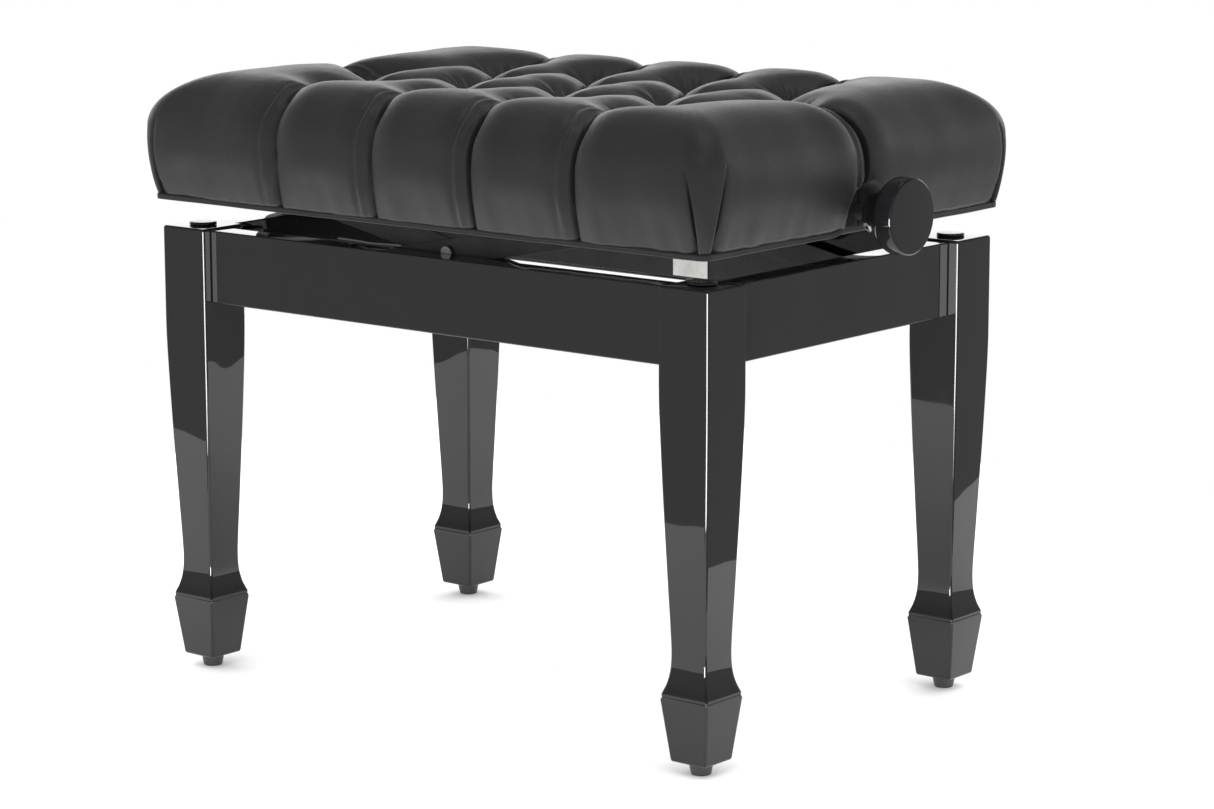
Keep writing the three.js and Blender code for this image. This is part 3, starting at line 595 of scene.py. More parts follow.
# ---- cushion ------------------------------------------------------------------------------------
# All cushion measures are in millimetres until the mesh is written.
HALF_X, HALF_Y = 288.0, 196.5          # widest outline
CORE_INSET = 60.0                      # how far the flat middle lies inside the widest outline
CORNER_RADIUS = 25.0                   # plan rounding at the widest outline
HEM_Z = 391.7                          # lower edge of the leather
HEM_INSET = 8.4                        # how far the hem lies inside the widest outline
HEM_RADIUS = 8.0
WIDEST_Z = 444.0
TOP_Z = 483.0
INNER_WALL = (276.35, 184.85, 16.2)    # half sizes and corner rounding of the space for the frame
DECK_Z = 427.7
TUFTS = ([(x, -95.0) for x in (-150, -50, 50, 150)]
         + [(x, 0.0) for x in (-200, -100, 0, 100, 200)]
         + [(x, 95.0) for x in (-150, -50, 50, 150)])
PLEATS_X = (-150.0, -50.0, 50.0, 150.0)
PLEAT_LEAN = 13.0                      # how far a pleat drifts sideways as it turns over the edge
NOTCH_HALF, NOTCH_TOP = 18.0, 424.0


def edge_profile():
    """Arc length, outward distance from the core, height and plan rounding, from the top to the hem."""
    angles = np.linspace(0, math.pi / 2, 40)
    power = 2 / 2.25
    over = np.sin(angles) ** power
    down = np.cos(angles) ** power
    outward = CORE_INSET * over
    height = WIDEST_Z + (TOP_Z - WIDEST_Z) * down
    rounding = outward * CORNER_RADIUS / CORE_INSET
    t = np.linspace(0, 1, 24)[1:]
    outward = np.concatenate([outward, CORE_INSET - HEM_INSET * t ** 1.7])
    height = np.concatenate([height, WIDEST_Z + (HEM_Z - WIDEST_Z) * t])
    rounding = np.concatenate([rounding, CORNER_RADIUS + (HEM_RADIUS - CORNER_RADIUS) * t])
    length = np.concatenate([[0], np.cumsum(np.hypot(np.diff(outward), np.diff(height)))])
    return length, outward, height, rounding


def wrap_sheet(flat_x, flat_y):
    """Wraps a flat sheet over the cushion's form: flat coordinates to places in space."""
    length, outward, height, rounding = edge_profile()
    core_x, core_y = HALF_X - CORE_INSET, HALF_Y - CORE_INSET
    over_x = np.maximum(np.abs(flat_x) - core_x, 0)
    over_y = np.maximum(np.abs(flat_y) - core_y, 0)
    reach = np.maximum(over_x, over_y)
    out = np.interp(reach, length, outward)
    z = np.interp(reach, length, height)
    radius = np.interp(reach, length, rounding)
    lesser = np.minimum(over_x, over_y) / np.maximum(reach, 1e-9)
    angle = np.where(over_x >= over_y, lesser * math.pi / 4, math.pi / 2 - lesser * math.pi / 4)
    straight_x = core_x + out - radius
    straight_y = core_y + out - radius
    sign_x, sign_y = np.sign(flat_x), np.sign(flat_y)
    corner = (over_x > 0) & (over_y > 0)
    along_x = flat_x / core_x * straight_x
    along_y = flat_y / core_y * straight_y
    x = np.where(over_x > 0, sign_x * (straight_x + radius * np.where(corner, np.cos(angle), 1)), along_x)
    y = np.where(over_y > 0, sign_y * (straight_y + radius * np.where(corner, np.sin(angle), 1)), along_y)
    return np.stack([x, y, z], axis=1)


def segment_distance(x, y, start, end):
    """Distance to a straight line between two points, and the signed side."""
    dx, dy = end[0] - start[0], end[1] - start[1]
    span = math.hypot(dx, dy)
    along = np.clip(((x - start[0]) * dx + (y - start[1]) * dy) / span ** 2, 0, 1)
    near_x, near_y = start[0] + along * dx, start[1] + along * dy
    side = (x - start[0]) * dy / span - (y - start[1]) * dx / span
    return np.hypot(x - near_x, y - near_y), side, along


def lip(distance, radius):
    """1 at a pleat's line and 0 beyond radius, falling like the shoulder of a roll."""
    t = np.clip(distance / radius, 0, 1)
    return 1 - np.sqrt(1 - (1 - t) ** 2)


def slope(distance, radius, power=1.6):
    return (1 - np.clip(distance / radius, 0, 1)) ** power


def bell(distance, middle, width):
    return np.exp(-((distance - middle) / width) ** 2)


def ripple(x, y, z, wave, seed):
    """Smooth irregular waviness between -1 and 1, the same on every run."""
    rng = np.random.default_rng(seed)
    total = np.zeros_like(x)
    for _ in range(7):
        direction = rng.normal(size=3)
        direction /= np.linalg.norm(direction)
        turn = 2 * math.pi / (wave * rng.uniform(0.7, 1.6))
        total += np.sin((x * direction[0] + y * direction[1] + z * direction[2]) * turn + rng.uniform(0, 6.28))
    return total / 4


def pleat_groove(signed, depth):
    """Crisp folded line: a steep lip on one side, a rolled band of leather on the other."""
    distance = np.abs(signed)
    crisp = lip(distance, 6.0)
    soft = 0.75 * lip(distance, 4.0) + 0.25 * slope(distance, 12.0, 1.0)
    push = -depth * np.where(signed > 0, crisp, soft)
    band = bell(distance, 11.5, 2.2) * 0.30 - bell(distance, 15.5, 2.6) * 0.28
    return push + depth * np.where(signed < 0, band, 0)


def edge_pleats(x, y):
    """Signed distance across each pleat that runs out over an edge, and where along it a point is."""
    pleats = []
    for sy in (-1, 1):
        for px in PLEATS_X:
            beyond = np.maximum(95 - sy * y, 0)
            near = np.where(sy * y > 0, 1, 0) * np.clip(1 - beyond / 12, 0, 1)
            lean = np.clip((sy * y - 145) / 46, 0, 1)
            lean = PLEAT_LEAN * lean * lean * (3 - 2 * lean)
            pleats.append(((x - px) * -sy - lean, near))
    for sx in (-1, 1):
        beyond = np.maximum(200 - sx * x, 0)
        near = np.where(sx * x > 0, 1, 0) * np.clip(1 - beyond / 12, 0, 1)
        pleats.append((y * sx, near))
    return pleats


def diamond_lines():
    """Pairs of neighbouring tufts joined by a pleat."""
    return [(a, b) for a in TUFTS for b in TUFTS if b[1] - a[1] == 95 and abs(b[0] - a[0]) == 50]


def top_mask(z):
    return np.clip((z - 413) / 40, 0, 1)


def soft_form(points, settings):
    """How far the stuffing's form lies inside the plain sheet: valleys at pleats, pits at tufts."""
    x, y, z = points.T
    top = top_mask(z)
    push = np.zeros_like(x)
    for signed, near in edge_pleats(x, y):
        distance = np.abs(signed)
        valley = np.where(signed > 0, lip(distance, 26.0), slope(distance, 34.0, 1.7))
        push -= near * settings.pleat_depth / MM * (0.22 + 0.78 * top) * valley
    diamonds = np.zeros_like(x)
    for a, b in diamond_lines():
        distance, _, _ = segment_distance(x, y, a, b)
        diamonds = np.maximum(diamonds, 0.75 * lip(distance, 44.0) + 0.25 * slope(distance, 30.0, 1.5))
    push -= top * settings.diamond_depth / MM * diamonds
    pits = np.zeros_like(x)
    for tx, ty in TUFTS:
        pits = np.maximum(pits, slope(np.hypot(x - tx, y - ty), 50.0, 2.0))
    push -= top * settings.tuft_depth / MM * pits
    # the long front and back panels stand a little proud between their pleats
    over = np.clip((np.abs(y) - 120) / 40, 0, 1) * np.clip((215 - np.abs(x)) / 30, 0, 1)
    push += over * 1.5
    return push


def sharp_detail(points, settings):
    """Crisp folds, gathers, corner tucks and unevenness, and how deep in a fold each point is, as a mask for painted
    shade.
    """
    x, y, z = points.T
    top = top_mask(z)
    side = 1 - top
    push = np.zeros_like(x)
    # painted shade mask: highest in pleat grooves, diamond lines, tuft pits and corner tucks
    fold = np.zeros_like(x)
    hem_fade = np.clip((z - HEM_Z + 8) / 26, 0.5, 1)
    for signed, near in edge_pleats(x, y):
        groove = pleat_groove(signed, settings.groove_depth / MM) - 6.0 * bell(signed, -0.6, 1.3)
        push += near * groove * hem_fade
        fold = np.maximum(fold, near * bell(signed, -0.6, 1.8))
    for a, b in diamond_lines():
        distance, signed, along = segment_distance(x, y, a, b)
        inside = np.clip(along * 12, 0, 1) * np.clip((1 - along) * 12, 0, 1)
        push -= top * (settings.groove_depth / MM * lip(distance, 5.0) + 3.0 * inside * bell(distance, 0, 1.4))
        fold = np.maximum(fold, top * inside * bell(distance, 0, 1.6))
    for index, (tx, ty) in enumerate(TUFTS):
        distance = np.hypot(x - tx, y - ty)
        angle = np.arctan2(y - ty, x - tx)
        gathers = np.sin(11 * angle + index * 1.7) + 0.6 * np.sin(17 * angle + index)
        push += top * 0.8 * gathers * bell(distance, 18, 9)
        fold = np.maximum(fold, top * bell(distance, 0, 6.0))

    # two tucks meet low on each corner
    centre_x, centre_y = HALF_X - CORNER_RADIUS, HALF_Y - CORNER_RADIUS
    for sx in (-1, 1):
        for sy in (-1, 1):
            angle = np.arctan2(sy * y - centre_y, sx * x - centre_x)
            reach = np.hypot(sy * y - centre_y, sx * x - centre_x)
            arc = (angle - math.pi / 4) * np.clip(reach, 10, 40)
            # past the rounded corner the sides run straight
            arc = np.where(sy * y < centre_y, -(centre_y - sy * y) - CORNER_RADIUS * math.pi / 4, arc)
            arc = np.where(sx * x < centre_x, (centre_x - sx * x) + CORNER_RADIUS * math.pi / 4, arc)
            near = np.clip(1 - np.maximum(centre_x - 25 - sx * x, centre_y - 25 - sy * y) / 10, 0, 1)
            height = np.clip((z - HEM_Z) / 64, 0, 1)
            fade = near * np.clip(1 - height, 0, 1) ** 0.7
            for hand in (-1, 1):
                signed = (arc - hand * (7.0 + 10.5 * height ** 1.2)) * hand
                outer = 0.6 * lip(np.abs(signed), 5.0) + 0.4 * slope(np.abs(signed), 16.0, 1.6)
                inner = 0.75 * lip(np.abs(signed), 3.5) + 0.25 * slope(np.abs(signed), 8.0)
                push -= fade * (4.2 * np.where(signed > 0, outer, inner) + 4.0 * bell(signed, 0, 1.0))
                fold = np.maximum(fold, fade * bell(signed, 0, 1.4))

    # gentle unevenness, and upright creases that gather towards the hem
    push += 0.35 * ripple(x, y, z, 60, 3)
    on_end = np.abs(x) / HALF_X > np.abs(y) / HALF_Y
    around = np.where(on_end, y, x)
    creases = np.clip(ripple(around, around * 0, z * 0.1, 15, 8), -1, 1)
    push += 0.5 * side * np.clip(1 - (z - HEM_Z) / 46, 0, 1) * creases
    return push, fold


def tuck_in_notches(points, fold):
    """Draws the leather in round the spindle, to the frame's face, and marks the notch for painted shade."""
    y, z = points[:, 1], points[:, 2]
    springing = NOTCH_TOP - NOTCH_HALF
    radial = np.where(z < springing, np.abs(y), np.hypot(y, z - springing))
    for sx in (-1, 1):
        beyond = np.clip((NOTCH_HALF + 4 - radial) / 7, 0, 1) * (sx * points[:, 0] > HALF_X - 40)
        beyond = beyond * beyond * (3 - 2 * beyond)
        target = INNER_WALL[0] + 0.9
        shift = np.where(sx * points[:, 0] > target, (sx * points[:, 0] - target) * beyond, 0)
        points[:, 0] -= sx * shift
        # the notch is also marked for painted shade
        fold = np.maximum(fold, beyond)
    return points, np.clip(fold, 0, 1)


def crowded_lines(count, half_size, centres):
    """Evenly spaced lines across the flat sheet, drawn closer together near the pleats."""
    dense = np.linspace(-half_size, half_size, 4001)
    weight = np.ones_like(dense)
    for centre in centres:
        weight += 1.5 * np.exp(-((dense - centre) / 9.0) ** 2)
    total = np.concatenate([[0], np.cumsum((weight[1:] + weight[:-1]) / 2)])
    return np.interp(np.linspace(0, total[-1], count + 1), total, dense)


def flat_sheet(spacing, size_x, size_y, crowd):
    """A grid mesh, with its flat coordinates and its two sets of lines."""
    count_x, count_y = 2 * round(size_x / spacing), 2 * round(size_y / spacing)
    bm = bmesh.new()
    bmesh.ops.create_grid(bm, x_segments=count_x, y_segments=count_y, size=1.0)
    drift = [px + sy * PLEAT_LEAN * 0.55 for px in PLEATS_X for sy in (-1, 1)]
    lines_x = crowded_lines(count_x, size_x, drift if crowd else ())
    lines_y = crowded_lines(count_y, size_y, (0.0,) if crowd else ())
    units = np.array([vert.co[:2] for vert in bm.verts])
    flat_x = np.interp(units[:, 0], np.linspace(-1, 1, count_x + 1), lines_x)
    flat_y = np.interp(units[:, 1], np.linspace(-1, 1, count_y + 1), lines_y)
    return bm, flat_x, flat_y, lines_x, lines_y


def surface_normals(points, columns):
    """Outward directions of a sheet whose points run in rows."""
    grid = points.reshape(-1, columns, 3)
    normals = np.cross(np.gradient(grid, axis=1), np.gradient(grid, axis=0))
    normals = normals.reshape(-1, 3)
    return normals / np.maximum(np.linalg.norm(normals, axis=1), 1e-9)[:, None]


def spread_between(values, lines_x, lines_y, flat_x, flat_y):
    """Reads a coarse grid of values at the points of a finer sheet."""
    grid = values.reshape(len(lines_y), len(lines_x), 3)
    place_x = np.interp(flat_x, lines_x, np.arange(len(lines_x)))
    place_y = np.interp(flat_y, lines_y, np.arange(len(lines_y)))
    ix = np.minimum(place_x.astype(int), len(lines_x) - 2)
    iy = np.minimum(place_y.astype(int), len(lines_y) - 2)
    tx, ty = (place_x - ix)[:, None], (place_y - iy)[:, None]
    low = grid[iy, ix] * (1 - tx) + grid[iy, ix + 1] * tx
    high = grid[iy + 1, ix] * (1 - tx) + grid[iy + 1, ix + 1] * tx
    return low * (1 - ty) + high * ty


def formed_points(flat_x, flat_y, columns, settings):
    """The sheet wrapped over the stuffing and drawn down at its pleats and tufts."""
    points = wrap_sheet(flat_x, flat_y)
    push = soft_form(points, settings)
    return points + surface_normals(points, columns) * push[:, None]


def stuffed_shift(size_x, size_y, settings):
    """Blows the leather out against its seams with a cloth simulation; gives how far each point moves."""
    bm, flat_x, flat_y, lines_x, lines_y = flat_sheet(settings.cloth_spacing / MM, size_x, size_y, False)
    points = formed_points(flat_x, flat_y, len(lines_x), settings)
    sheet_count = len(points)
    held = np.zeros(sheet_count)
    x, y, z = points.T
    for signed, near in edge_pleats(x, y):
        held = np.maximum(held, near * np.clip(2.0 - np.abs(signed) / 4, 0, 1))
    for a, b in diamond_lines():
        distance, _, _ = segment_distance(x, y, a, b)
        held = np.maximum(held, top_mask(z) * np.clip(2.0 - distance / 4, 0, 1))
    held = np.maximum(held, np.clip(1 - (z - HEM_Z) / 6, 0, 1))
    for vert, place in zip(bm.verts, points):
        vert.co = place
    close_underside(bm)
    bmesh.ops.scale(bm, vec=(0.01, 0.01, 0.01), verts=bm.verts)
    bmesh.ops.recalc_face_normals(bm, faces=bm.faces)
    mesh = bpy.data.meshes.new("stuffing_cloth")
    bm.to_mesh(mesh)
    bm.free()
    cloth = bpy.data.objects.new("stuffing_cloth", mesh)
    scene = bpy.context.scene
    scene.collection.objects.link(cloth)
    pins = cloth.vertex_groups.new(name="held")
    for index in range(len(mesh.vertices)):
        pins.add([index], float(held[index]) if index < sheet_count else 1.0, "REPLACE")
    modifier = cloth.modifiers.new("stuffing", "CLOTH")
    leather = modifier.settings
    leather.quality = 5
    leather.mass = 0.15
    leather.tension_stiffness = 12.0
    leather.compression_stiffness = 6.0
    leather.shear_stiffness = 4.0
    leather.bending_stiffness = 0.6
    leather.air_damping = 2.0
    leather.vertex_group_mass = "held"
    leather.pin_stiffness = 40.0
    leather.use_pressure = True
    leather.uniform_pressure_force = settings.stuffing_pressure
    leather.shrink_min = -settings.leather_slack
    leather.effector_weights.gravity = 0.0
    modifier.collision_settings.use_collision = False
    modifier.collision_settings.use_self_collision = False
    modifier.point_cache.frame_start = 1
    modifier.point_cache.frame_end = 20
    for number in range(1, 21):
        scene.frame_set(number)
    settled = cloth.evaluated_get(bpy.context.evaluated_depsgraph_get()).to_mesh()
    places = np.array([settled.vertices[i].co[:] for i in range(sheet_count)]) / 0.01
    cloth.evaluated_get(bpy.context.evaluated_depsgraph_get()).to_mesh_clear()
    scene.frame_set(1)
    bpy.data.objects.remove(cloth)
    bpy.data.meshes.remove(mesh)
    shift = places - points
    length = np.linalg.norm(shift, axis=1)[:, None]
    side_share = 0.12 + 0.28 * np.clip((z - HEM_Z) / 40, 0, 1)
    cap = settings.stuffing_cap / MM * (side_share + (1 - side_share) * top_mask(z))[:, None]
    shift *= cap * np.tanh(length / cap) / np.maximum(length, 1e-9)
    shift = eased(shift, len(lines_x), 4)
    print("cloth moved", np.round(np.percentile(length, [5, 50, 90, 99, 100]), 2))
    return shift, lines_x, lines_y


def eased(values, columns, rounds):
    """Evens out small ripples in a grid of values."""
    grid = values.reshape(-1, columns, 3)
    for _ in range(rounds):
        wide = np.pad(grid, ((1, 1), (1, 1), (0, 0)), mode="edge")
        around = wide[:-2, 1:-1] + wide[2:, 1:-1] + wide[1:-1, :-2] + wide[1:-1, 2:]
        grid = grid * 0.5 + around * 0.125
    return grid.reshape(-1, 3)


def build_cushion(settings):
    """The tufted leather seat: one sheet wrapped, stuffed, drawn down at the tufts and closed underneath."""
    length = edge_profile()[0][-1]
    size_x, size_y = HALF_X - CORE_INSET + length, HALF_Y - CORE_INSET + length
    spacing = settings.mesh_spacing / MM * 1.0
    bm, flat_x, flat_y, lines_x, lines_y = flat_sheet(spacing, size_x, size_y, True)
    columns = len(lines_x)
    points = formed_points(flat_x, flat_y, columns, settings)
    shift, coarse_x, coarse_y = stuffed_shift(size_x, size_y, settings)
    points += spread_between(shift, coarse_x, coarse_y, flat_x, flat_y)
    push, fold = sharp_detail(points, settings)
    points = points + surface_normals(points, columns) * push[:, None]
    points, fold = tuck_in_notches(points, fold)
    # the fold mask is stored on the points for the leather's painted shade
    fold_shade_layer = bm.verts.layers.float.new("fold")
    for vert, place, depth in zip(bm.verts, points, fold):
        vert.co = place
        vert[fold_shade_layer] = depth
    close_underside(bm)
    bmesh.ops.scale(bm, vec=(MM, MM, MM), verts=bm.verts)
    piece = make_object(
        "tufted_seat", bm, "leather", "seat",
        ["seat_cushion", "border_front", "border_back", "border_left", "border_right"],
    )
    return piece


def close_underside(bm):
    """Turns the hem under, up the space for the frame, and closes it under the foam."""
    half_x, half_y, radius = INNER_WALL
    for height in (HEM_Z, DECK_Z):
        edges = [edge for edge in bm.edges if edge.is_boundary]
        result = bmesh.ops.extrude_edge_only(bm, edges=edges)
        for vert in (item for item in result["geom"] if isinstance(item, bmesh.types.BMVert)):
            centre = Vector((
                math.copysign(max(0.0, min(abs(vert.co.x), half_x - radius)), vert.co.x),
                math.copysign(max(0.0, min(abs(vert.co.y), half_y - radius)), vert.co.y),
            ))
            offset = Vector(vert.co[:2]) - centre
            if offset.length > 1e-6:
                place = centre + offset.normalized() * radius
                if abs(vert.co.x) <= half_x - radius:
                    place.y = math.copysign(half_y, vert.co.y)
                if abs(vert.co.y) <= half_y - radius:
                    place.x = math.copysign(half_x, vert.co.x)
                vert.co = (place.x, place.y, height)
    bmesh.ops.holes_fill(bm, edges=[edge for edge in bm.edges if edge.is_boundary], sides=0)


# ---- welt ---------------------------------------------------------------------------------------
def build_welt(name, sy):
    """Flat leather band round the seat's lower edge; its ends turn up beside the spindle."""
    half_x, half_y, radius = 280.2, 188.7, 8.0
    thickness, height, bottom = 3.6, 4.8, 386.9
    path = []
    straight_y, straight_x = half_y - radius, half_x - radius
    start = NOTCH_HALF + 3.0
    for along in np.linspace(start, straight_y, 26)[:-1]:
        path.append((half_x, along, 1.0, 0.0))
    for angle in np.linspace(0, math.pi / 2, 13):
        path.append((straight_x + radius * math.cos(angle), straight_y + radius * math.sin(angle),
                     math.cos(angle), math.sin(angle)))
    for along in np.linspace(straight_x, 0, 60)[1:]:
        path.append((along, half_y, 0.0, 1.0))
    mirrored = [(-x, y, -nx, ny) for x, y, nx, ny in reversed(path[:-1])]
    path += mirrored
    section = [(0.0, 0.0), (0.0, 1.0), (0.25, 1.0), (0.8, 0.96), (1.0, 0.8), (1.0, 0.55), (0.92, 0.3),
               (1.0, 0.18), (0.86, 0.02), (0.5, 0.0)]
    bm = bmesh.new()
    ring = [bm.verts.new((0, 0, 0)) for _ in section]
    edges = [bm.edges.new((ring[i], ring[(i + 1) % len(ring)])) for i in range(len(ring))]
    rows = [ring]
    for _ in path[1:]:
        result = bmesh.ops.extrude_edge_only(bm, edges=edges)
        ring = [item for item in result["geom"] if isinstance(item, bmesh.types.BMVert)]
        edges = [item for item in result["geom"] if isinstance(item, bmesh.types.BMEdge)
                 and all(vert in ring for vert in item.verts)]
        rows.append(ring)
    travelled = 0.0
    for index, ((px, py, nx, ny), ring) in enumerate(zip(path, rows)):
        if index:
            travelled += math.hypot(px - path[index - 1][0], py - path[index - 1][1])
        from_end = min(index, len(path) - 1 - index) * 5.6
        turn_up = 6.0 * max(0.0, 1 - from_end / 9.0) ** 2
        wave = 0.5 * math.sin(travelled / 31 + sy) + 0.25 * math.sin(travelled / 11.3)
        for (out, up), vert in zip(section, ring):
            reach = -thickness + out * (thickness + 0.25 * wave)
            vert.co = (px + nx * reach, sy * (py + ny * reach), bottom + up * height + turn_up + (wave if up else 0) * 0.4)
    bmesh.ops.holes_fill(bm, edges=[edge for edge in bm.edges if edge.is_boundary], sides=0)
    bmesh.ops.scale(bm, vec=(MM, MM, MM), verts=bm.verts)
    return make_object(f"leather_welt_{name}", bm, "leather", "seat", [f"welt_{name}"])


# ---- settings -----------------------------------------------------------------------------------
class BenchFinishSettings(bpy.types.PropertyGroup):
    """Colours and polish of the bench."""

    lacquer: FloatVectorProperty(
        name="Lacquer", description="Colour of legs and aprons", subtype="COLOR",
        size=3, min=0.0, max=1.0, default=(0.005, 0.005, 0.0052))
    lacquer_roughness: FloatProperty(
        name="Lacquer Roughness", description="How far the polish is from a mirror",
        default=0.014, min=0.0, max=1.0)
    leather: FloatVectorProperty(
        name="Leather", description="Colour of the seat", subtype="COLOR",
        size=3, min=0.0, max=1.0, default=(0.010, 0.010, 0.0105))
    steel: FloatVectorProperty(
        name="Steel Coat", description="Colour of the lifting links and rails", subtype="COLOR",
        size=3, min=0.0, max=1.0, default=(0.008, 0.008, 0.009))


class BenchWoodSettings(bpy.types.PropertyGroup):
    """Sizes of the wooden parts."""

    leg_edge: FloatProperty(
        name="Leg Edge", description="Rounding of the legs' long edges",
        default=2.2 * MM, min=0.0, subtype="DISTANCE", unit="LENGTH")
    apron_edge: FloatProperty(
        name="Apron Edge", description="Rounding of the aprons' edges",
        default=1.2 * MM, min=0.0, subtype="DISTANCE", unit="LENGTH")


class BenchKnobSettings(bpy.types.PropertyGroup):
    """Sizes of the knobs and the spindle."""

    radius: FloatProperty(
        name="Knob Radius", description="Radius of the knob's face",
        default=29 * MM, min=0.01, subtype="DISTANCE", unit="LENGTH")
    thickness: FloatProperty(
        name="Knob Thickness", description="Thickness of the knob's disc",
        default=13.5 * MM, min=0.002, subtype="DISTANCE", unit="LENGTH")
    lead: FloatProperty(
        name="Thread Lead", description="How far the nut bar moves in one turn",
        default=6 * MM, min=0.001, subtype="DISTANCE", unit="LENGTH")


class BenchCushionSettings(bpy.types.PropertyGroup):
    """Shape of the tufted seat."""

    tuft_depth: FloatProperty(
        name="Tuft Depth", description="How far each tuft pulls the leather down",
        default=26 * MM, min=0.0, subtype="DISTANCE", unit="LENGTH")
    diamond_depth: FloatProperty(
        name="Diamond Depth", description="Depth of the valleys between tufts",
        default=13 * MM, min=0.0, subtype="DISTANCE", unit="LENGTH")
    pleat_depth: FloatProperty(
        name="Pleat Depth", description="Depth of the valleys that run over the edges",
        default=6.0 * MM, min=0.0, subtype="DISTANCE", unit="LENGTH")
    groove_depth: FloatProperty(
        name="Groove Depth", description="Depth of the crisp line in a pleat",
        default=4.0 * MM, min=0.0, subtype="DISTANCE", unit="LENGTH")
    stuffing_pressure: FloatProperty(
        name="Stuffing Pressure", description="How hard the stuffing presses on the leather",
        default=4.0, min=0.0)
    leather_slack: FloatProperty(
        name="Leather Slack", description="Extra length cut into the leather", default=0.02, min=0.0, max=0.2)
    stuffing_cap: FloatProperty(
        name="Stuffing Cap", description="Most that the stuffing may push the leather out",
        default=7 * MM, min=0.0, subtype="DISTANCE", unit="LENGTH")
    cloth_spacing: FloatProperty(
        name="Cloth Spacing", description="Size of the simulated cloth's faces",
        default=6 * MM, min=0.002, subtype="DISTANCE", unit="LENGTH")
    mesh_spacing: FloatProperty(
        name="Mesh Spacing", description="Size of the cushion's faces",
        default=2.0 * MM, min=0.0005, subtype="DISTANCE", unit="LENGTH")


class BenchStageSettings(bpy.types.PropertyGroup):
    """Floor, light and camera."""

    key_power: FloatProperty(
        name="Top Light", description="Power of the big light over the bench", default=30.0, min=0.0)
    lens: FloatProperty(
        name="Lens", description="Focal length of the camera", default=109.1, min=10.0)


# ---- operators ----------------------------------------------------------------------------------
class BENCH_OT_legs(bpy.types.Operator):
    """Builds the four legs with their glides and bumpers"""

    bl_idname = "bench.legs"
    bl_label = "Legs, Glides and Bumpers"

    def execute(self, context):
        wood = context.scene.bench_wood
        for name, sx, sy in CORNERS:
            build_leg(name, sx, sy, wood.leg_edge)
            build_glide(name, sx, sy)
            build_bumper(name, sx, sy)
        return {"FINISHED"}


class BENCH_OT_aprons(bpy.types.Operator):
    """Builds the four polished aprons"""

    bl_idname = "bench.aprons"
    bl_label = "Aprons"

    def execute(self, context):
        for name, _ in SIDES + ENDS:
            build_apron(name, context.scene.bench_wood.apron_edge)
        return {"FINISHED"}


class BENCH_OT_knobs(bpy.types.Operator):
    """Builds the knobs and the threaded spindle"""

    bl_idname = "bench.knobs"
    bl_label = "Knobs and Spindle"

    def execute(self, context):
        settings = context.scene.bench_knobs
        for name, sx in ENDS:
            build_knob(name, sx, settings.radius, settings.thickness)
        build_spindle(0.118, 0.228, settings.lead)
        return {"FINISHED"}


class BENCH_OT_cushion(bpy.types.Operator):
    """Builds the tufted leather seat"""

    bl_idname = "bench.cushion"
    bl_label = "Tufted Seat"

    def execute(self, context):
        build_cushion(context.scene.bench_cushion)
        return {"FINISHED"}


class BENCH_OT_welt(bpy.types.Operator):
    """Builds the leather welt under the seat"""

    bl_idname = "bench.welt"
    bl_label = "Welt"

    def execute(self, context):
        for name, sy in SIDES:
            build_welt(name, sy)
        return {"FINISHED"}


class BENCH_OT_mechanism(bpy.types.Operator):
    """Finishes the steel lift, the seat frame and the blocks with rounded edges and their materials"""

    bl_idname = "bench.mechanism"
    bl_label = "Lift and Frame"

    def execute(self, context):
        slots = {row["node"]: row["material_slot"] for row in frame["record"]["subparts"]}
        for name, node in frame["nodes"].items():
            if node.hide_render:
                continue
            node.data.materials.clear()
            node.data.materials.append(finish(slots[name]))
            weld = node.modifiers.new("weld", "WELD")
            weld.merge_threshold = 1e-5
            edges = node.modifiers.new("eased_edges", "BEVEL")
            edges.width = 0.35 * MM
            edges.segments = 2
            edges.limit_method = "ANGLE"
            edges.angle_limit = math.radians(40)
        return {"FINISHED"}


class BENCH_OT_stage(bpy.types.Operator):
    """Sets the floor, the studio lights and the camera"""

    bl_idname = "bench.stage"
    bl_label = "Stage"

    def execute(self, context):
        stage = context.scene.bench_stage
        build_floor()
        build_world(context.scene)
        add_softbox("top_softbox", (0.3, 0.5, 2.6), (0.0, 0.0, 0.45), 1.6, 0.6, stage.key_power * 0.1)
        add_softbox("high_softbox", (1.35, -1.6, 2.9), (0.0, 0.0, 0.2), 0.3, 0.6, stage.key_power * 0.1)
        edge_panel = add_softbox("edge_panel", (1.9, -3.6, -0.45), (0.0, 0.0, 0.3), 2.6, 1.4, stage.key_power * 12.0)
        light_only(edge_panel, LACQUERED_PIECES)
        build_camera(context.scene, stage.lens)
        context.scene.view_settings.view_transform = "Standard"
        return {"FINISHED"}


def build_floor():
    """A plain pale table top that the bench stands on."""
    bm = bmesh.new()
    bmesh.ops.create_grid(bm, x_segments=1, y_segments=1, size=1.0)
    bmesh.ops.scale(bm, vec=(0.76, 0.81, 1.0), verts=bm.verts)
    bmesh.ops.translate(bm, vec=(-0.15, 0.11, 0.0), verts=bm.verts)
    mesh = bpy.data.meshes.new("studio_floor")
    bm.to_mesh(mesh)
    bm.free()
    floor = bpy.data.objects.new("studio_floor", mesh)
    bpy.context.scene.collection.objects.link(floor)
    material, tree, shader, place = blank_material("pale_floor")
    set_inputs(shader, Base_Color=(0.93, 0.93, 0.93, 1.0), Roughness=0.75)
    mesh.materials.append(material)
    return floor


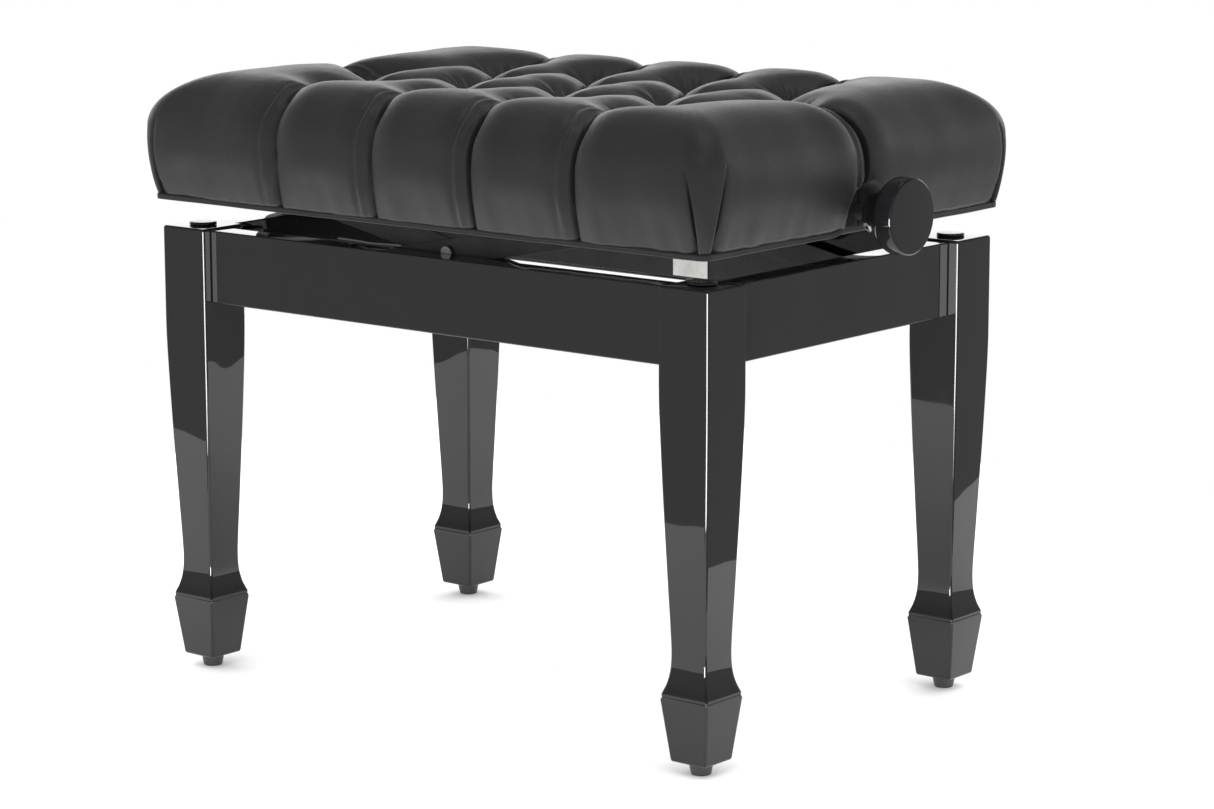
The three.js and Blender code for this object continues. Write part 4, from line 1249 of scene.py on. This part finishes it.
def build_world(scene):
    """Pale all round for soft light, with a bright backdrop and a dim room for gloss to mirror."""
    world = bpy.data.worlds.new("studio_world")
    world.use_nodes = True
    tree = world.node_tree
    tree.nodes.clear()
    output = add_node(tree, "ShaderNodeOutputWorld")
    soft = add_node(tree, "ShaderNodeBackground")
    set_inputs(soft, Color=(1, 1, 1, 1), Strength=1.9)
    white = add_node(tree, "ShaderNodeBackground")
    set_inputs(white, Color=(1, 1, 1, 1), Strength=1.0)
    mirrored = add_node(tree, "ShaderNodeBackground")
    place = add_node(tree, "ShaderNodeTexCoord")
    split = add_node(tree, "ShaderNodeSeparateXYZ")
    above = add_node(tree, "ShaderNodeMapRange", interpolation_type="SMOOTHSTEP")
    set_inputs(above, From_Min=0.0, From_Max=0.06)
    beyond = add_node(tree, "ShaderNodeMapRange", interpolation_type="SMOOTHSTEP")
    set_inputs(beyond, From_Min=0.35, From_Max=0.75)
    facing = add_node(tree, "ShaderNodeVectorMath", operation="DOT_PRODUCT")
    facing.inputs[1].default_value = (-0.6, 0.8, 0.0)
    ceiling = add_node(tree, "ShaderNodeMapRange", interpolation_type="SMOOTHSTEP")
    set_inputs(ceiling, From_Min=0.17, From_Max=0.40, To_Min=1.0, To_Max=0.0)
    backdrop = add_node(tree, "ShaderNodeMath", operation="MULTIPLY")
    limited = add_node(tree, "ShaderNodeMath", operation="MULTIPLY")
    room = add_node(tree, "ShaderNodeMapRange")
    set_inputs(room, From_Min=0.1, From_Max=0.75, To_Min=0.54, To_Max=0.10)
    level = add_node(tree, "ShaderNodeMath", operation="MULTIPLY_ADD")
    level.inputs[1].default_value = 2.0
    tree.links.new(place.outputs["Generated"], split.inputs["Vector"])
    tree.links.new(split.outputs["Z"], above.inputs["Value"])
    tree.links.new(place.outputs["Generated"], facing.inputs[0])
    tree.links.new(facing.outputs["Value"], beyond.inputs["Value"])
    tree.links.new(above.outputs["Result"], backdrop.inputs[0])
    tree.links.new(beyond.outputs["Result"], backdrop.inputs[1])
    tree.links.new(split.outputs["Z"], ceiling.inputs["Value"])
    tree.links.new(backdrop.outputs["Value"], limited.inputs[0])
    tree.links.new(ceiling.outputs["Result"], limited.inputs[1])
    tree.links.new(split.outputs["Z"], room.inputs["Value"])
    tree.links.new(limited.outputs["Value"], level.inputs[0])
    tree.links.new(room.outputs["Result"], level.inputs[2])
    tree.links.new(level.outputs["Value"], mirrored.inputs["Strength"])
    path = add_node(tree, "ShaderNodeLightPath")
    gloss = add_node(tree, "ShaderNodeMixShader")
    direct = add_node(tree, "ShaderNodeMixShader")
    tree.links.new(path.outputs["Is Glossy Ray"], gloss.inputs["Fac"])
    tree.links.new(soft.outputs["Background"], gloss.inputs[1])
    tree.links.new(mirrored.outputs["Background"], gloss.inputs[2])
    tree.links.new(path.outputs["Is Camera Ray"], direct.inputs["Fac"])
    tree.links.new(gloss.outputs["Shader"], direct.inputs[1])
    tree.links.new(white.outputs["Background"], direct.inputs[2])
    tree.links.new(direct.outputs["Shader"], output.inputs["Surface"])
    scene.world = world


LACQUERED_PIECES = ("tapered_leg", "apron_board", "seat_knob")


def add_softbox(name, place, target, width, height, power):
    """A rectangular soft light that looks at a point."""
    light = bpy.data.lights.new(name, "AREA")
    light.shape = "RECTANGLE"
    light.size = width
    light.size_y = height
    light.energy = power
    lamp = bpy.data.objects.new(name, light)
    lamp.location = place
    lamp.rotation_euler = (Vector(target) - Vector(place)).to_track_quat("-Z", "Y").to_euler()
    bpy.context.scene.collection.objects.link(lamp)
    return lamp


def light_only(lamp, name_starts):
    """Flags the lamp off everything except the pieces whose names start this way."""
    lit = bpy.data.collections.new(lamp.name + "_lights")
    for piece in bpy.data.objects:
        if piece.type == "MESH" and piece.name.startswith(name_starts):
            lit.objects.link(piece)
    lamp.light_linking.receiver_collection = lit


def build_camera(scene, lens):
    """Looks at the front right corner from a little above the seat."""
    yaw, pitch, roll = math.radians(39.23), math.radians(10.71), math.radians(-0.13)
    forward = Vector((-math.sin(yaw) * math.cos(pitch), math.cos(yaw) * math.cos(pitch), -math.sin(pitch)))
    right = Vector((math.cos(yaw), math.sin(yaw), 0))
    up = right.cross(forward)
    turned_right = math.cos(roll) * right + math.sin(roll) * up
    turned_up = math.cos(roll) * up - math.sin(roll) * right
    data = bpy.data.cameras.new("studio_camera")
    data.lens = lens
    data.sensor_width = 36.0
    data.sensor_fit = "HORIZONTAL"
    data.clip_end = 50.0
    camera = bpy.data.objects.new("studio_camera", data)
    matrix = Matrix((turned_right, turned_up, -forward)).transposed().to_4x4()
    matrix.translation = Vector((1.85515, -2.22891, 0.77208))
    camera.matrix_world = matrix
    scene.collection.objects.link(camera)
    scene.camera = camera


class BENCH_PT_panel(bpy.types.Panel):
    """Lists the bench's settings and build steps"""

    bl_idname = "BENCH_PT_panel"
    bl_label = "Piano Bench"
    bl_space_type = "VIEW_3D"
    bl_region_type = "UI"
    bl_category = "Piano Bench"

    def draw(self, context):
        column = self.layout.column()
        for operator in OPERATORS:
            column.operator(operator.bl_idname)
        for group in ("bench_finish", "bench_wood", "bench_knobs", "bench_cushion", "bench_stage"):
            settings = getattr(context.scene, group)
            box = column.box()
            for name in settings.__annotations__:
                box.prop(settings, name)


OPERATORS = (
    BENCH_OT_legs, BENCH_OT_aprons, BENCH_OT_knobs, BENCH_OT_cushion, BENCH_OT_welt,
    BENCH_OT_mechanism, BENCH_OT_stage,
)
SETTINGS = {
    "bench_finish": BenchFinishSettings,
    "bench_wood": BenchWoodSettings,
    "bench_knobs": BenchKnobSettings,
    "bench_cushion": BenchCushionSettings,
    "bench_stage": BenchStageSettings,
}


def register():
    for group in SETTINGS.values():
        bpy.utils.register_class(group)
    for name, group in SETTINGS.items():
        setattr(bpy.types.Scene, name, PointerProperty(type=group))
    for operator in OPERATORS:
        bpy.utils.register_class(operator)
    bpy.utils.register_class(BENCH_PT_panel)


def unregister():
    bpy.utils.unregister_class(BENCH_PT_panel)
    for operator in reversed(OPERATORS):
        bpy.utils.unregister_class(operator)
    for name in SETTINGS:
        delattr(bpy.types.Scene, name)
    for group in reversed(SETTINGS.values()):
        bpy.utils.unregister_class(group)


def main():
    register()
    bpy.ops.bench.legs()
    bpy.ops.bench.aprons()
    bpy.ops.bench.knobs()
    bpy.ops.bench.cushion()
    bpy.ops.bench.welt()
    bpy.ops.bench.mechanism()
    bpy.ops.bench.stage()


if __name__ == "__main__":
    main()
